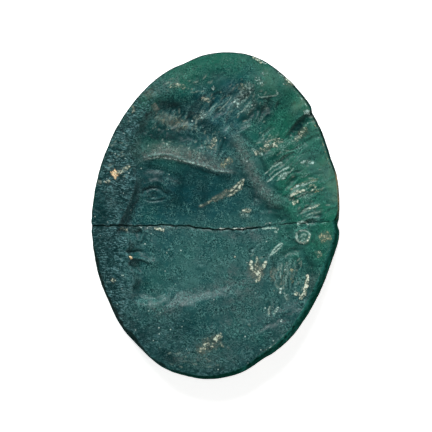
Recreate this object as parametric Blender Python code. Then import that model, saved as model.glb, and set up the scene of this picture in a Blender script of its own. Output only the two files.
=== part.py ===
# Oval glass ringstone with a head in profile sunk into its face, broken across into two.
#
# The stone lies on its flat back: X across, Y along the long axis, Z up out of the face.
# The origin is in the middle of the back. The design is worked out in millimetres, and
# becomes metres where the vertices are written.

import math

import bmesh
import bpy
import numpy as np

METRES_PER_MM = 0.001

# Stone
LENGTH = 26.0
WIDTH = 19.55
RIM_HEIGHT = 3.15
DOME_RISE = 0.7
LEAST_FLARE = 0.13
FLARE_RISE = 0.60
FLARE_ANGLE = math.radians(-34)
# Above the crack the wall stands nearly upright
UPRIGHT_SHARE = 0.75

# Swellings and dips of the outline: centre and half width in degrees, height
BULGES = [
    (356, 8, 0.20), (180, 16, 0.06), (83, 10, 0.20), (107, 5, -0.11), (226, 9, -0.11), (243, 7, -0.14),
    (294, 5.5, -0.27), (322, 20, -0.12), (191, 1.6, -0.09), (3.5, 2.0, -0.13), (230, 26, -0.08),
    (17, 14, 0.07), (249, 7, -0.07), (191, 4, 0.08), (282, 7, -0.08), (267, 5, -0.08), (303, 5, -0.08),
    (96, 10, 0.06),
]

# Edge lost at the upper right: how far in, and the degrees that it runs between
LOST_EDGE = 0.20
LOST_FROM = 24.0
LOST_TO = 55.4

# Crack between the two fragments
CRACK_GAP = 0.07
CRACK_SLANT = 0.16
CRACK_PATH = [
    (-9.95, -0.80), (-7.7, -0.76), (-5.8, -0.80), (-4.5, -0.72), (-2.1, -0.84), (-0.5, -1.06),
    (2.4, -1.05), (4.3, -0.72), (5.6, -0.62), (8.0, -0.50), (9.9, -0.36),
]
CRACK_LEFT = math.radians(190.9)
CRACK_RIGHT = math.radians(4.4)

# Head: it stands a little turned on the stone, and everything on it is placed in its own
# upright frame, with the chin at CHIN_LEVEL and the face looking towards -X.
HEAD_TILT = math.radians(6)
HEAD_HEIGHT = 18.6
CHIN_LEVEL = -7.3
FACE_X = -6.7
HEAD_DEPTH = 0.52
# Width of the carved wall before the face, and round the rest of the head
FACE_WALL = 0.80
SOFT_WALL = 2.0

# Grid cells across and up each fragment's face
CELLS_ACROSS = 46
CELLS_UP = 28

# Rows of the side wall, from the face's edge down: share of the height, share of the flare
WALL_ROWS = [(0.96, 0.35), (0.62, 0.68), (0.26, 0.93), (0.08, 1.0), (0.0, 0.8)]

GLASS_COLOR = (0.030, 0.098, 0.088, 1.0)
GLASS_ROUGHNESS = 0.32


def smooth_step(value):
    """Rises smoothly from 0 to 1 as value goes from 0 to 1."""
    value = np.clip(value, 0.0, 1.0)
    return value * value * (3.0 - 2.0 * value)


def turned(x, y, angle):
    """The point turned counter-clockwise about the origin."""
    return x * math.cos(angle) - y * math.sin(angle), x * math.sin(angle) + y * math.cos(angle)


# Outline of the stone


def bulge(angle, centre_deg, half_width_deg, height):
    """A soft swelling of the outline, or a hollow where the height is negative."""
    off = (angle - math.radians(centre_deg) + math.pi) % (2.0 * math.pi) - math.pi
    return height * np.exp(-((off / math.radians(half_width_deg)) ** 2))


def lost_edge(angle):
    """The upper right edge has flaked away below a sharp step."""
    degrees = np.degrees(angle) % 360.0
    slope, step = 11.0, 2.5
    return -LOST_EDGE * smooth_step((degrees - LOST_FROM) / slope) * smooth_step((LOST_TO - degrees) / step)


def outline_radius(angle):
    """Distance from the middle to the widest line of the stone."""
    half_x, half_y = WIDTH / 2.0, LENGTH / 2.0
    radius = half_x * half_y / np.hypot(half_y * np.cos(angle), half_x * np.sin(angle))
    radius = radius + lost_edge(angle)
    for centre, half_width, height in BULGES:
        radius = radius + bulge(angle, centre, half_width, height)
    return radius


def flare(angle):
    """How far the side wall leans out below the face, most at the lower right."""
    lean = np.clip(np.cos(angle - FLARE_ANGLE), 0.0, 1.0) ** 1.5
    above_crack = smooth_step(np.sin(angle - math.radians(2.0)) / 0.16)
    return LEAST_FLARE + FLARE_RISE * lean * (1.0 - UPRIGHT_SHARE * above_crack)


def outline_middle():
    """Middle of the outline's box, which the origin sits in."""
    angle = np.linspace(0.0, 2.0 * math.pi, 1441)
    x = outline_radius(angle) * np.cos(angle)
    y = outline_radius(angle) * np.sin(angle)
    return (x.min() + x.max()) / 2.0, (y.min() + y.max()) / 2.0


MIDDLE = outline_middle()


def rim_point(angle, out):
    """Point on the side wall: out is 0 at the face's edge and 1 at the widest line."""
    radius = outline_radius(angle) - flare(angle) * (1.0 - out)
    return radius * np.cos(angle) - MIDDLE[0], radius * np.sin(angle) - MIDDLE[1]


# Smooth paths and what is carved along them


def smooth_path(points, closed=False, steps=6):
    """A smooth curve through the points."""
    points = np.array(points, float)
    count = len(points)
    spans = count if closed else count - 1
    curve = []
    for span in range(spans):
        before, start, end, after = (
            points[(span + shift) % count] if closed else points[min(max(span + shift, 0), count - 1)]
            for shift in (-1, 0, 1, 2)
        )
        for step in range(steps):
            t = step / steps
            curve.append(
                0.5 * (2 * start + (end - before) * t
                       + (2 * before - 5 * start + 4 * end - after) * t * t
                       + (3 * start - before - 3 * end + after) * t ** 3)
            )
    curve.append(curve[0] if closed else points[-1])
    return np.array(curve)


def along_path(x, y, path):
    """Distance to the path, share of its length, and the side: positive is left of it."""
    nearest = np.full(np.shape(x), 1e9)
    share = np.zeros(np.shape(x))
    side = np.ones(np.shape(x))
    legs = np.hypot(*np.diff(path, axis=0).T)
    total, done = legs.sum(), 0.0
    for (ax, ay), (bx, by), leg in zip(path[:-1], path[1:], legs):
        dx, dy = bx - ax, by - ay
        t = np.clip(((x - ax) * dx + (y - ay) * dy) / (leg * leg), 0.0, 1.0)
        distance = np.hypot(x - ax - t * dx, y - ay - t * dy)
        closer = distance < nearest
        nearest = np.where(closer, distance, nearest)
        share = np.where(closer, (done + t * leg) / total, share)
        side = np.where(closer, np.sign(dx * (y - ay) - dy * (x - ax)), side)
        done += leg
    return nearest, share, side


def groove(x, y, points, width, depth, ends=4.0):
    """A cut along a smooth path, tapered to both ends."""
    distance, share, _ = along_path(x, y, smooth_path(points))
    taper = smooth_step(share * ends) * smooth_step((1.0 - share) * ends)
    return depth * (0.25 + 0.75 * taper) * np.exp(-((distance / width) ** 2))


def scarp(x, y, points, drop, wall, run, ends=5.0):
    """A step down on the left of a path, which heals over the run and fades at the ends."""
    distance, share, side = along_path(x, y, smooth_path(points))
    fade = smooth_step(share * ends) * smooth_step((1.0 - share) * ends)
    left = np.where(side > 0.0, distance, 0.0)
    return drop * fade * smooth_step(left / wall) * np.exp(-left / run)


def hollow(x, y, centre, radii, depth, turn_deg=0.0):
    """A soft oval hollow, or a swelling where the depth is negative."""
    across, up = turned(x - centre[0], y - centre[1], -math.radians(turn_deg))
    return depth * np.exp(-((across / radii[0]) ** 2) - (up / radii[1]) ** 2)


# The head


def face_point(forward, height):
    """Place on the head, as shares of its height before the face line and above the chin."""
    return FACE_X - forward * HEAD_HEIGHT, CHIN_LEVEL + height * HEAD_HEIGHT


def face_line(shares):
    """Places on the head that a line of the face runs through."""
    return [face_point(forward, height) for forward, height in shares]


def head_outline():
    """Calm profile on textbook thirds, then neck, nape, back hair and crown."""
    profile = [
        (-0.150, 0.935), (-0.060, 0.850), (-0.010, 0.745), (0.002, 0.650), (-0.014, 0.550),
        (0.018, 0.440), (0.062, 0.335), (0.014, 0.286), (0.026, 0.236), (0.004, 0.208),
        (0.020, 0.180), (-0.004, 0.140), (0.012, 0.070), (-0.030, 0.005), (-0.150, -0.010),
    ]
    neck = [(-2.2, -8.2), (-1.6, -9.8), (2.0, -9.9), (6.0, -8.6)]
    back = [(7.9, -6.2), (8.8, -3.0), (9.3, 1.0), (8.8, 4.8), (7.3, 8.1), (4.6, 10.4), (1.0, 11.0), (-1.6, 10.0)]
    return smooth_path(face_line(profile) + neck + back, closed=True)


def inside_depth(x, y, outline):
    """Distance in from a closed outline, or 0 outside it."""
    distance, _, _ = along_path(x, y, outline)
    inside = np.zeros(np.shape(x), bool)
    for (ax, ay), (bx, by) in zip(outline[:-1], outline[1:]):
        if ay != by:
            crosses = (ay > y) != (by > y)
            inside ^= crosses & (x < ax + (y - ay) * (bx - ax) / (by - ay))
    return np.where(inside, distance, 0.0)


def face_relief(x, y):
    """Features of the face, placed as shares of the head."""
    relief = hollow(x, y, face_point(-0.27, 0.38), (4.8, 4.2), 0.55)
    relief += hollow(x, y, face_point(-0.105, 0.500), (1.5, 0.95), -0.22)
    relief += hollow(x, y, face_point(-0.088, 0.490), (0.60, 0.42), 0.26)
    brow = face_line([(-0.004, 0.558), (-0.055, 0.583), (-0.120, 0.586), (-0.185, 0.562), (-0.245, 0.530)])
    relief += groove(x, y, brow, 0.36, 0.12, ends=2.2)
    bridge = face_line([(-0.034, 0.545), (-0.016, 0.460), (0.016, 0.370), (0.036, 0.335)])
    relief += groove(x, y, bridge, 0.42, 0.24, ends=3.0)
    relief += hollow(x, y, face_point(-0.022, 0.318), (0.42, 0.32), 0.24)
    relief += hollow(x, y, face_point(-0.010, 0.236), (0.62, 0.28), 0.20)
    relief += hollow(x, y, face_point(-0.014, 0.181), (0.54, 0.30), 0.22)
    return relief + hollow(x, y, face_point(-0.050, 0.068), (1.0, 0.8), 0.16)


def jaw_relief(x, y):
    """The neck lies shallower than the jaw that overhangs it."""
    shares = [(-0.54, 0.19), (-0.42, 0.105), (-0.27, 0.055), (-0.16, -0.012), (-0.05, -0.010), (0.01, 0.03)]
    step = scarp(x, y, face_line(shares), 0.30, 1.0, 1.9, ends=4.0)
    return hollow(x, y, (2.8, -8.0), (3.6, 1.7), 0.14, 14.0) - step


def front_hair(x, y):
    """A standing crest of hair over the brow, with hollows behind it."""
    edge = [(-7.0, 3.4), (-6.0, 4.2), (-4.7, 4.52), (-3.2, 4.36), (-1.5, 3.98), (0.2, 3.45), (2.1, 3.25)]
    crest = smooth_path(edge)
    over = y - np.interp(x, crest[:, 0], crest[:, 1])
    window = smooth_step((x + 6.6) / 1.8) * smooth_step((2.0 - x) / 1.6)
    lip = smooth_step(0.2 - over / 0.5) * np.exp(np.minimum(over, 0.0) / 1.3) - 0.5
    behind = smooth_step(over / 1.6) * smooth_step((3.4 - over) / 1.6)
    relief = window * (0.18 * lip + 0.14 * behind)
    low = [(-6.4, 7.0), (-4.8, 7.1), (-2.8, 6.7), (-0.9, 6.0)]
    high = [(-5.9, 8.6), (-4.2, 8.8), (-2.6, 8.2), (-1.0, 7.0), (0.8, 5.8)]
    return relief + groove(x, y, low, 0.60, 0.10, ends=3.0) + groove(x, y, high, 0.80, 0.22, ends=3.0)


def crown_hair(x, y):
    """Waves of hair combed down and forward from the crown."""
    relief = 0.0
    for wave in range(6):
        top_x = -0.5 + 1.05 * wave + 0.30 * math.sin(4.3 * wave + 1.0)
        top_y = 10.3 - 0.22 * wave + 0.35 * math.sin(3.0 * wave)
        length = 3.5 - 0.20 * wave + 0.8 * math.sin(2.0 * wave + 1.0)
        points = [
            (top_x, top_y), (top_x - 0.16 * length, top_y - 0.14 * length),
            (top_x - 0.34 * length, top_y - 0.55 * length), (top_x - 0.90 * length, top_y - 0.82 * length),
        ]
        relief = relief + groove(x, y, points, 0.40, 0.15 + 0.07 * math.sin(5.3 * wave))
    return relief + groove(x, y, [(-1.6, 10.5), (-0.4, 11.0), (0.8, 10.8)], 0.50, 0.20, ends=3.0)


def fillet(x, y):
    """A band from the crown down behind the ear, with the temple sunk before it."""
    band = [(-0.4, 7.8), (0.9, 6.6), (2.3, 4.9), (3.3, 2.9), (4.5, 1.4), (5.9, 0.2), (6.9, -1.9), (7.8, -4.4)]
    trench = [(px - 0.80, py - 0.65) for px, py in band[1:]]
    return groove(x, y, trench, 0.60, 0.17, ends=3.0) + groove(x, y, band, 0.50, -0.11)


def back_hair(x, y):
    """Locks that fan out behind the fillet in two overlapping rows."""
    relief = 0.0
    for lock in range(8):
        lift = math.radians(40.0 - 2.5 * lock + 9.0 * math.sin(2.3 * lock))
        root_x, root_y = 2.9 + 0.55 * lock, 5.7 - 0.93 * lock + 0.28 * math.sin(5.0 * lock)
        reach = 2.2 - 0.05 * lock + 0.7 * math.sin(4.1 * lock)
        for row in range(2):
            depth = (0.11 + 0.05 * math.sin(3.7 * lock + row)) * (1.0 - 0.45 * row)
            start_x = root_x + row * (reach + 0.3) * math.cos(lift)
            start_y = root_y + row * (reach + 0.3) * math.sin(lift) + 0.5 * row
            points = [
                (start_x + reach * t * math.cos(lift), start_y + reach * t * math.sin(lift) + 0.6 * t * (1.0 - t))
                for t in (0.0, 0.5, 1.0)
            ]
            relief = relief + groove(x, y, points, 0.32, depth, ends=2.5)
    return relief


def nape_hair(x, y):
    """A lock arched over the nape, and one raised ring curl under the fillet."""
    relief = groove(x, y, [(4.0, -4.7), (4.9, -3.4), (6.1, -2.85), (7.2, -3.2)], 0.32, 0.09, ends=3.0)
    ring = np.hypot(x - 6.85, y + 1.60) - 0.60
    return relief - 0.10 * np.exp(-((ring / 0.22) ** 2))


def lost_flake(x, y):
    """A flake lost from the upper right: a diagonal break edge with lower ground below it."""
    edge = [(8.7, 9.5), (7.56, 8.62), (6.95, 8.2), (6.2, 7.45), (5.45, 6.55), (4.9, 5.95)]
    return scarp(x, y, edge, 0.36, 0.30, 1.3, ends=4.0)


def carved_bowl(x, y):
    """The head as one smooth hollow, and how fully the details stand at a place."""
    inward = inside_depth(x, y, head_outline())
    at_face = smooth_step((-3.0 - x) / 2.5) * smooth_step((y + 8.0) / 1.5)
    wall = SOFT_WALL + (FACE_WALL - SOFT_WALL) * at_face
    shallow = smooth_step((y + 11.5) / 5.0) * smooth_step((13.5 - y) / 4.0)
    return HEAD_DEPTH * smooth_step(inward / wall) * shallow, smooth_step(inward / (0.5 * wall))


def relief_depth(x, y):
    """How deep the glass is cut below its domed face."""
    x, y = turned(x, y, -HEAD_TILT)
    bowl, within = carved_bowl(x, y)
    details = face_relief(x, y) + jaw_relief(x, y) + front_hair(x, y) + crown_hair(x, y)
    details = details + fillet(x, y) + back_hair(x, y) + nape_hair(x, y)
    return bowl + within * details + lost_flake(x, y)


def face_height(x, y):
    """Height of the stone's front above its back."""
    share = (2.0 * x / WIDTH) ** 2 + (2.0 * y / LENGTH) ** 2
    return RIM_HEIGHT + DOME_RISE * (1.0 - share) - relief_depth(x, y)


# The fragments


def crack_height(x, z):
    """Where the crack crosses the stone, for a place across it and a height."""
    path = smooth_path(CRACK_PATH, steps=12)
    path_x, path_y = turned(path[:, 0], path[:, 1], HEAD_TILT)
    waves = 0.03 * np.sin(3.7 * x + 1.3 * z)
    return np.interp(x, path_x, path_y) + CRACK_SLANT * (z / RIM_HEIGHT - 1.0) + waves


class Fragment:
    """One half of the stone: its crack edge runs along the grid's first row."""

    def __init__(self, name, upper):
        self.name = name
        self.upper = upper
        self.gap = CRACK_GAP / 2.0 if upper else -CRACK_GAP / 2.0
        if upper:
            self.angles = (CRACK_LEFT, math.radians(138), math.radians(48), CRACK_RIGHT)
        else:
            self.angles = (CRACK_LEFT, math.radians(222), math.radians(318), CRACK_RIGHT + 2.0 * math.pi)

    def crack_edge(self, s, out, z):
        """Point at a share across the crack edge, on the wall row that is given."""
        left_x, _ = rim_point(self.angles[0], out)
        right_x, _ = rim_point(self.angles[3], out)
        x = left_x + (right_x - left_x) * s
        return x, crack_height(x, z) + self.gap

    def side(self, part, share, out, z):
        """Point at a share up the left side, along the far side or up the right side."""
        crack_left, far_left, far_right, crack_right = self.angles
        start, end = {"left": (crack_left, far_left), "far": (far_left, far_right),
                      "right": (crack_right, far_right)}[part]
        x, y = rim_point(start + (end - start) * share, out)
        if part == "far":
            return x, y
        _, corner_y = self.crack_edge(0.0 if part == "left" else 1.0, out, z)
        _, rim_y = rim_point(start, out)
        return x, y + (corner_y - rim_y) * (1.0 - smooth_step(share * 6.0))

    def face_xy(self, s, t):
        """The grid's unit square stretched between the crack edge and the rim."""
        top = RIM_HEIGHT
        near, far = self.crack_edge(s, 0.0, top), self.side("far", s, 0.0, top)
        left, right = self.side("left", t, 0.0, top), self.side("right", t, 0.0, top)
        corners = [
            (self.crack_edge(0.0, 0.0, top), (1 - s) * (1 - t)),
            (self.crack_edge(1.0, 0.0, top), s * (1 - t)),
            (self.side("far", 0.0, 0.0, top), (1 - s) * t),
            (self.side("far", 1.0, 0.0, top), s * t),
        ]
        return [
            (1 - t) * near[axis] + t * far[axis] + (1 - s) * left[axis] + s * right[axis]
            - sum(weight * corner[axis] for corner, weight in corners)
            for axis in (0, 1)
        ]

    def wall_points(self, s, t, z, out):
        """Points of one wall row, below the places (s, t) on the edge of the face."""
        points = np.column_stack([s, t, z])
        near, far = t == 0.0, t == 1.0
        between = ~near & ~far
        left, right = between & (s == 0.0), between & (s == 1.0)
        points[near, :2] = np.column_stack(self.crack_edge(s[near], out, z[near]))
        points[far, :2] = np.column_stack(self.side("far", s[far], out, z[far]))
        points[left, :2] = np.column_stack(self.side("left", t[left], out, z[left]))
        points[right, :2] = np.column_stack(self.side("right", t[right], out, z[right]))
        return points

    def mesh(self):
        """Grid for the face, rows extruded down its edge for the wall, and a flat back."""
        bm = bmesh.new()
        bmesh.ops.create_grid(bm, x_segments=CELLS_ACROSS, y_segments=CELLS_UP, size=0.5)
        place = bm.verts.layers.int.new("place")
        for index, vert in enumerate(bm.verts):
            vert[place] = index
        s, t = np.array([vert.co[:2] for vert in bm.verts]).round(6).T + 0.5
        face_x, face_y = self.face_xy(s, t)
        face_z = face_height(face_x, face_y)
        edges = [edge for edge in bm.edges if edge.is_boundary]
        set_places(bm.verts, place, np.column_stack([face_x, face_y, face_z]))
        for height, out in WALL_ROWS:
            made = bmesh.ops.extrude_edge_only(bm, edges=edges)["geom"]
            edges = [item for item in made if isinstance(item, bmesh.types.BMEdge)]
            verts = [item for item in made if isinstance(item, bmesh.types.BMVert)]
            set_places(verts, place, self.wall_points(s, t, face_z * height, out))
        bmesh.ops.edgeloop_fill(bm, edges=edges)
        bmesh.ops.scale(bm, vec=[METRES_PER_MM] * 3, verts=bm.verts)
        bmesh.ops.recalc_face_normals(bm, faces=bm.faces)
        mesh = bpy.data.meshes.new(self.name)
        bm.to_mesh(mesh)
        bm.free()
        return mesh


def set_places(verts, place, points):
    """Moves each vertex to the point of its place on the grid."""
    for vert in verts:
        vert.co = points[vert[place]]


# The scene


def clear_scene():
    for obj in list(bpy.data.objects):
        bpy.data.objects.remove(obj, do_unlink=True)


def glass_material(name):
    """Dark sea-green glass with a worn, half-dull skin."""
    material = bpy.data.materials.new(name)
    material.use_nodes = True
    shader = material.node_tree.nodes["Principled BSDF"]
    shader.inputs["Base Color"].default_value = GLASS_COLOR
    shader.inputs["Roughness"].default_value = GLASS_ROUGHNESS
    shader.inputs["Metallic"].default_value = 0.0
    return material


def add_fragment(name, upper, collection):
    mesh = Fragment(name, upper).mesh()
    mesh.shade_smooth()
    mesh.set_sharp_from_angle(angle=math.radians(40))
    mesh.materials.append(glass_material(name + "_glass"))
    collection.objects.link(bpy.data.objects.new(name, mesh))


def main():
    clear_scene()
    collection = bpy.data.collections.new("glass_intaglio")
    bpy.context.scene.collection.children.link(collection)
    add_fragment("upper_fragment", True, collection)
    add_fragment("lower_fragment", False, collection)


main()
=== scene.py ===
import math

import bpy
import numpy as np
from mathutils import Euler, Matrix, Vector


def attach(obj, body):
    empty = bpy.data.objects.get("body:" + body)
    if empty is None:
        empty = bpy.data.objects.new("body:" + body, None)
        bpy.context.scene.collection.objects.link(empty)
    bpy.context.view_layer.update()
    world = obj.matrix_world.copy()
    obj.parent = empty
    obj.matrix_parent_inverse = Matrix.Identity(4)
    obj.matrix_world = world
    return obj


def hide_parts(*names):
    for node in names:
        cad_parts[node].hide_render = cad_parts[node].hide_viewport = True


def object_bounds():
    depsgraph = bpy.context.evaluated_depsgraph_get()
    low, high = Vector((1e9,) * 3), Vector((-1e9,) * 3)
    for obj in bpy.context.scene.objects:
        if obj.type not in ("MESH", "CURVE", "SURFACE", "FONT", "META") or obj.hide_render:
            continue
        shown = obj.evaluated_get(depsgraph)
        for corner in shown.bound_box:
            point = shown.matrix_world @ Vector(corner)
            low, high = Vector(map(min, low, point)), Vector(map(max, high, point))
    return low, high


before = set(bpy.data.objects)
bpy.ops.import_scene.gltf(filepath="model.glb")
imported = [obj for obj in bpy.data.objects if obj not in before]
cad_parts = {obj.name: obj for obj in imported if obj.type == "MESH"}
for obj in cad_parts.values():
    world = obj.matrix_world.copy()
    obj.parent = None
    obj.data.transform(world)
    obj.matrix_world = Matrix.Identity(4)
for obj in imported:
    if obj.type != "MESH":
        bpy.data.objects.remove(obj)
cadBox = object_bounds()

# The stone is worked out in millimetres and written in metres.
# x, y are the stone's own axes; u, v are the same place in the head's upright frame.
mm = 0.001


# Helpers for carving

def limited(value, high=1.0):
    return np.clip(value, 0.0, high)


def smoothStep(value):
    value = limited(value)
    return value * value * (3.0 - 2.0 * value)


def ramp(value, start, full):
    # 0 at the start, 1 at the full value, smooth between
    return smoothStep((value - start) / (full - start))


def bell(value, middle, halfWidth):
    return np.exp(-(((value - middle) / halfWidth) ** 2))


def turned(x, y, angle):
    return x * math.cos(angle) - y * math.sin(angle), x * math.sin(angle) + y * math.cos(angle)


def smoothPath(points, closed=False, steps=6):
    points = np.array(points, float)
    count = len(points)
    curve = []
    for span in range(count if closed else count - 1):
        picks = [(span + k) % count if closed else min(max(span + k, 0), count - 1) for k in (-1, 0, 1, 2)]
        before, start, end, after = points[picks]
        for t in np.arange(steps) / steps:
            curve.append(0.5 * (2 * start + (end - before) * t
                                + (2 * before - 5 * start + 4 * end - after) * t * t
                                + (3 * start - before - 3 * end + after) * t ** 3))
    curve.append(curve[0] if closed else points[-1])
    return np.array(curve)


def alongPath(u, v, path):
    # distance to the path, share of its length, and its side: positive is left
    nearest = np.full(np.shape(u), 1e9)
    share = np.zeros(np.shape(u))
    side = np.ones(np.shape(u))
    legs = np.hypot(*np.diff(path, axis=0).T)
    total, done = legs.sum(), 0.0
    for (au, av), (bu, bv), leg in zip(path[:-1], path[1:], legs):
        du, dv = bu - au, bv - av
        t = limited(((u - au) * du + (v - av) * dv) / (leg * leg))
        distance = np.hypot(u - au - t * du, v - av - t * dv)
        closer = distance < nearest
        nearest = np.where(closer, distance, nearest)
        share = np.where(closer, (done + t * leg) / total, share)
        side = np.where(closer, np.sign(du * (v - av) - dv * (u - au)), side)
        done += leg
    return nearest, share, side


def nearPath(u, v, path, reach):
    low, high = path.min(axis=0) - reach, path.max(axis=0) + reach
    return (u > low[0]) & (u < high[0]) & (v > low[1]) & (v < high[1])


def groove(u, v, points, width, depth, ends=4.0):
    # a cut along a smooth path, tapered to both ends
    result = np.zeros(np.shape(u))
    path = smoothPath(points)
    close = nearPath(u, v, path, 3.0 * width)
    distance, share, _ = alongPath(u[close], v[close], path)
    taper = smoothStep(share * ends) * smoothStep((1.0 - share) * ends)
    result[close] = depth * (0.15 + 0.85 * taper) * np.exp(-((distance / width) ** 2))
    return result


def scarp(u, v, points, drop, wall, run, ends=5.0):
    # a step down on the left of a path, which heals over the run
    result = np.zeros(np.shape(u))
    path = smoothPath(points)
    close = nearPath(u, v, path, 4.0 * run)
    distance, _, side = alongPath(u[close], v[close], path)
    chord = path[-1] - path[0]
    share = ((u[close] - path[0][0]) * chord[0] + (v[close] - path[0][1]) * chord[1]) / (chord @ chord)
    fade = smoothStep(share * ends) * smoothStep((1.0 - share) * ends)
    left = np.where(side > 0.0, distance, 0.0)
    heal = smoothStep((4.0 * run - left) / run)
    result[close] = drop * fade * smoothStep(left / wall) * np.exp(-left / run) * heal
    return result


def moved(points, du, dv):
    return [(u + du, v + dv) for u, v in points]


def hollow(u, v, centre, radii, depth, turnDeg=0.0):
    across, up = turned(u - centre[0], v - centre[1], -math.radians(turnDeg))
    return depth * np.exp(-((across / radii[0]) ** 2) - (up / radii[1]) ** 2)


def cellValue(i, j, seed):
    value = np.sin(i * 127.1 + j * 311.7 + seed * 74.7) * 43758.5453
    return 2.0 * (value - np.floor(value)) - 1.0


def valueNoise(u, v, scale, seed):
    # smooth noise from -1 to 1 with a new value every scale
    i, j = np.floor(u / scale), np.floor(v / scale)
    fu, fv = u / scale - i, v / scale - j
    fu, fv = fu * fu * (3 - 2 * fu), fv * fv * (3 - 2 * fv)
    low = cellValue(i, j, seed) * (1 - fu) + cellValue(i + 1, j, seed) * fu
    high = cellValue(i, j + 1, seed) * (1 - fu) + cellValue(i + 1, j + 1, seed) * fu
    return low * (1 - fv) + high * fv


def layeredNoise(u, v, scale, seed, layers=3):
    total = np.zeros(np.shape(u))
    for layer in range(layers):
        a, b = turned(u, v, 0.6 * layer)
        total += valueNoise(a, b, scale / 2 ** layer, seed + layer) / 2 ** layer
    return total


# The stone's outline

stone = {
    "length": 26.0,
    "width": 19.55,
    "rimHeight": 3.15,
    "domeRise": 0.7,
    "leastFlare": 0.13,
    "flareRise": 0.60,
    "flareAngle": math.radians(-34),
    "headTilt": math.radians(6),
    # centre and half width in degrees, height in mm
    "bulges": [
        (356, 8, 0.20), (180, 16, 0.06), (83, 10, 0.20), (107, 5, -0.11), (226, 9, -0.11), (243, 7, -0.14),
        (294, 5.5, -0.27), (322, 20, -0.12), (191, 1.6, -0.09), (3.5, 2.0, -0.13), (230, 26, -0.08),
        (17, 14, 0.07), (249, 7, -0.07), (191, 4, 0.08), (282, 7, -0.08), (267, 5, -0.08), (303, 5, -0.08),
        (96, 10, 0.06),
    ],
    # how much the lost flake takes off the outline, and in degrees how that starts and ends
    "lostEdge": 0.20,
    "lostStart": (24.0, 35.0),
    "lostEnd": (55.4, 52.9),
    "nibble": 0.018,
    "chips": 0.16,
    # middle and half width in degrees and share of the chipped arcs
    "chippedArcs": [(52.0, 26.0, 1.0), (172.0, 30.0, 0.7)],
}


def outlineRadius(angle):
    halfX, halfY = stone["width"] / 2.0, stone["length"] / 2.0
    radius = halfX * halfY / np.hypot(halfY * np.cos(angle), halfX * np.sin(angle))
    degrees = np.degrees(angle) % 360.0
    lost = ramp(degrees, *stone["lostStart"]) * ramp(degrees, *stone["lostEnd"])
    radius = radius - stone["lostEdge"] * lost
    for centre, halfWidth, height in stone["bulges"]:
        off = (degrees - centre + 180.0) % 360.0 - 180.0
        radius = radius + height * bell(off, 0.0, halfWidth)
    return radius


def outlineMiddle():
    angle = np.linspace(0.0, 2.0 * math.pi, 1441)
    x, y = outlineRadius(angle) * np.cos(angle), outlineRadius(angle) * np.sin(angle)
    return (x.min() + x.max()) / 2.0, (y.min() + y.max()) / 2.0


stone["middle"] = outlineMiddle()


def flare(angle):
    # the wall spreads at the lower right, and stands nearly upright from the crack's right end up
    lean = limited(np.cos(angle - stone["flareAngle"])) ** 1.5
    upright = smoothStep(np.sin(angle - math.radians(2.0)) / 0.16)
    return stone["leastFlare"] + stone["flareRise"] * lean * (1.0 - 0.75 * upright)


def rimChips(angle):
    # small flakes lost from the edge of the face, most of them at the upper right and the left
    angle = np.asarray(angle)
    degrees = np.degrees(angle) % 360.0
    arcs = stone["chippedArcs"]
    chipped = sum(share * bell(degrees, middle, halfWidth) for middle, halfWidth, share in arcs)
    bites = smoothStep(0.9 * layeredNoise(26.0 * np.cos(angle), 26.0 * np.sin(angle), 1.5, 15))
    return stone["chips"] * chipped * bites


def rimPoint(angle, out):
    # out is 0 at the edge of the face and 1 at the widest line
    radius = outlineRadius(angle) - flare(angle) * (1.0 - out)
    radius = radius + stone["nibble"] * layeredNoise(20.0 * np.cos(angle), 20.0 * np.sin(angle), 1.3, 3)
    radius = radius - rimChips(angle) * (1.0 - out) ** 2
    return radius * np.cos(angle) - stone["middle"][0], radius * np.sin(angle) - stone["middle"][1]


# The carving

head = {
    "height": 18.6,
    "chin": -7.3,
    "faceX": -6.7,
    "depth": 0.52,
    # width of the carved wall at the face and round the rest of the head
    "faceWall": 0.80,
    "softWall": 2.0,
    "strandDepth": 0.035,
}


def facePoint(forward, height):
    # shares of the head's height, before the face line and above the chin
    return head["faceX"] - forward * head["height"], head["chin"] + height * head["height"]


def faceLine(shares):
    return [facePoint(*share) for share in shares]


def headOutline():
    profile = [
        (-0.150, 0.935), (-0.060, 0.850), (-0.010, 0.745), (0.002, 0.650), (-0.004, 0.585), (-0.014, 0.540),
        (0.018, 0.440), (0.062, 0.335), (0.056, 0.308), (0.014, 0.286), (0.010, 0.262), (0.026, 0.236),
        (0.004, 0.208), (0.020, 0.180), (-0.004, 0.140), (0.012, 0.070), (-0.030, 0.005), (-0.150, -0.010),
    ]
    neck = [(-2.2, -8.2), (-1.6, -9.8), (2.0, -9.9), (6.0, -8.6)]
    back = [(7.9, -6.2), (8.8, -3.0), (9.3, 1.0), (8.8, 4.8), (7.3, 8.1), (4.6, 10.4), (1.0, 11.0),
            (-1.6, 10.0)]
    return smoothPath(faceLine(profile) + neck + back, closed=True)


def insideDepth(u, v, outline):
    distance, _, _ = alongPath(u, v, outline)
    inside = np.zeros(np.shape(u), bool)
    for (au, av), (bu, bv) in zip(outline[:-1], outline[1:]):
        if av != bv:
            crosses = (av > v) != (bv > v)
            inside ^= crosses & (u < au + (v - av) * (bu - au) / (bv - av))
    return np.where(inside, distance, 0.0)


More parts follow.
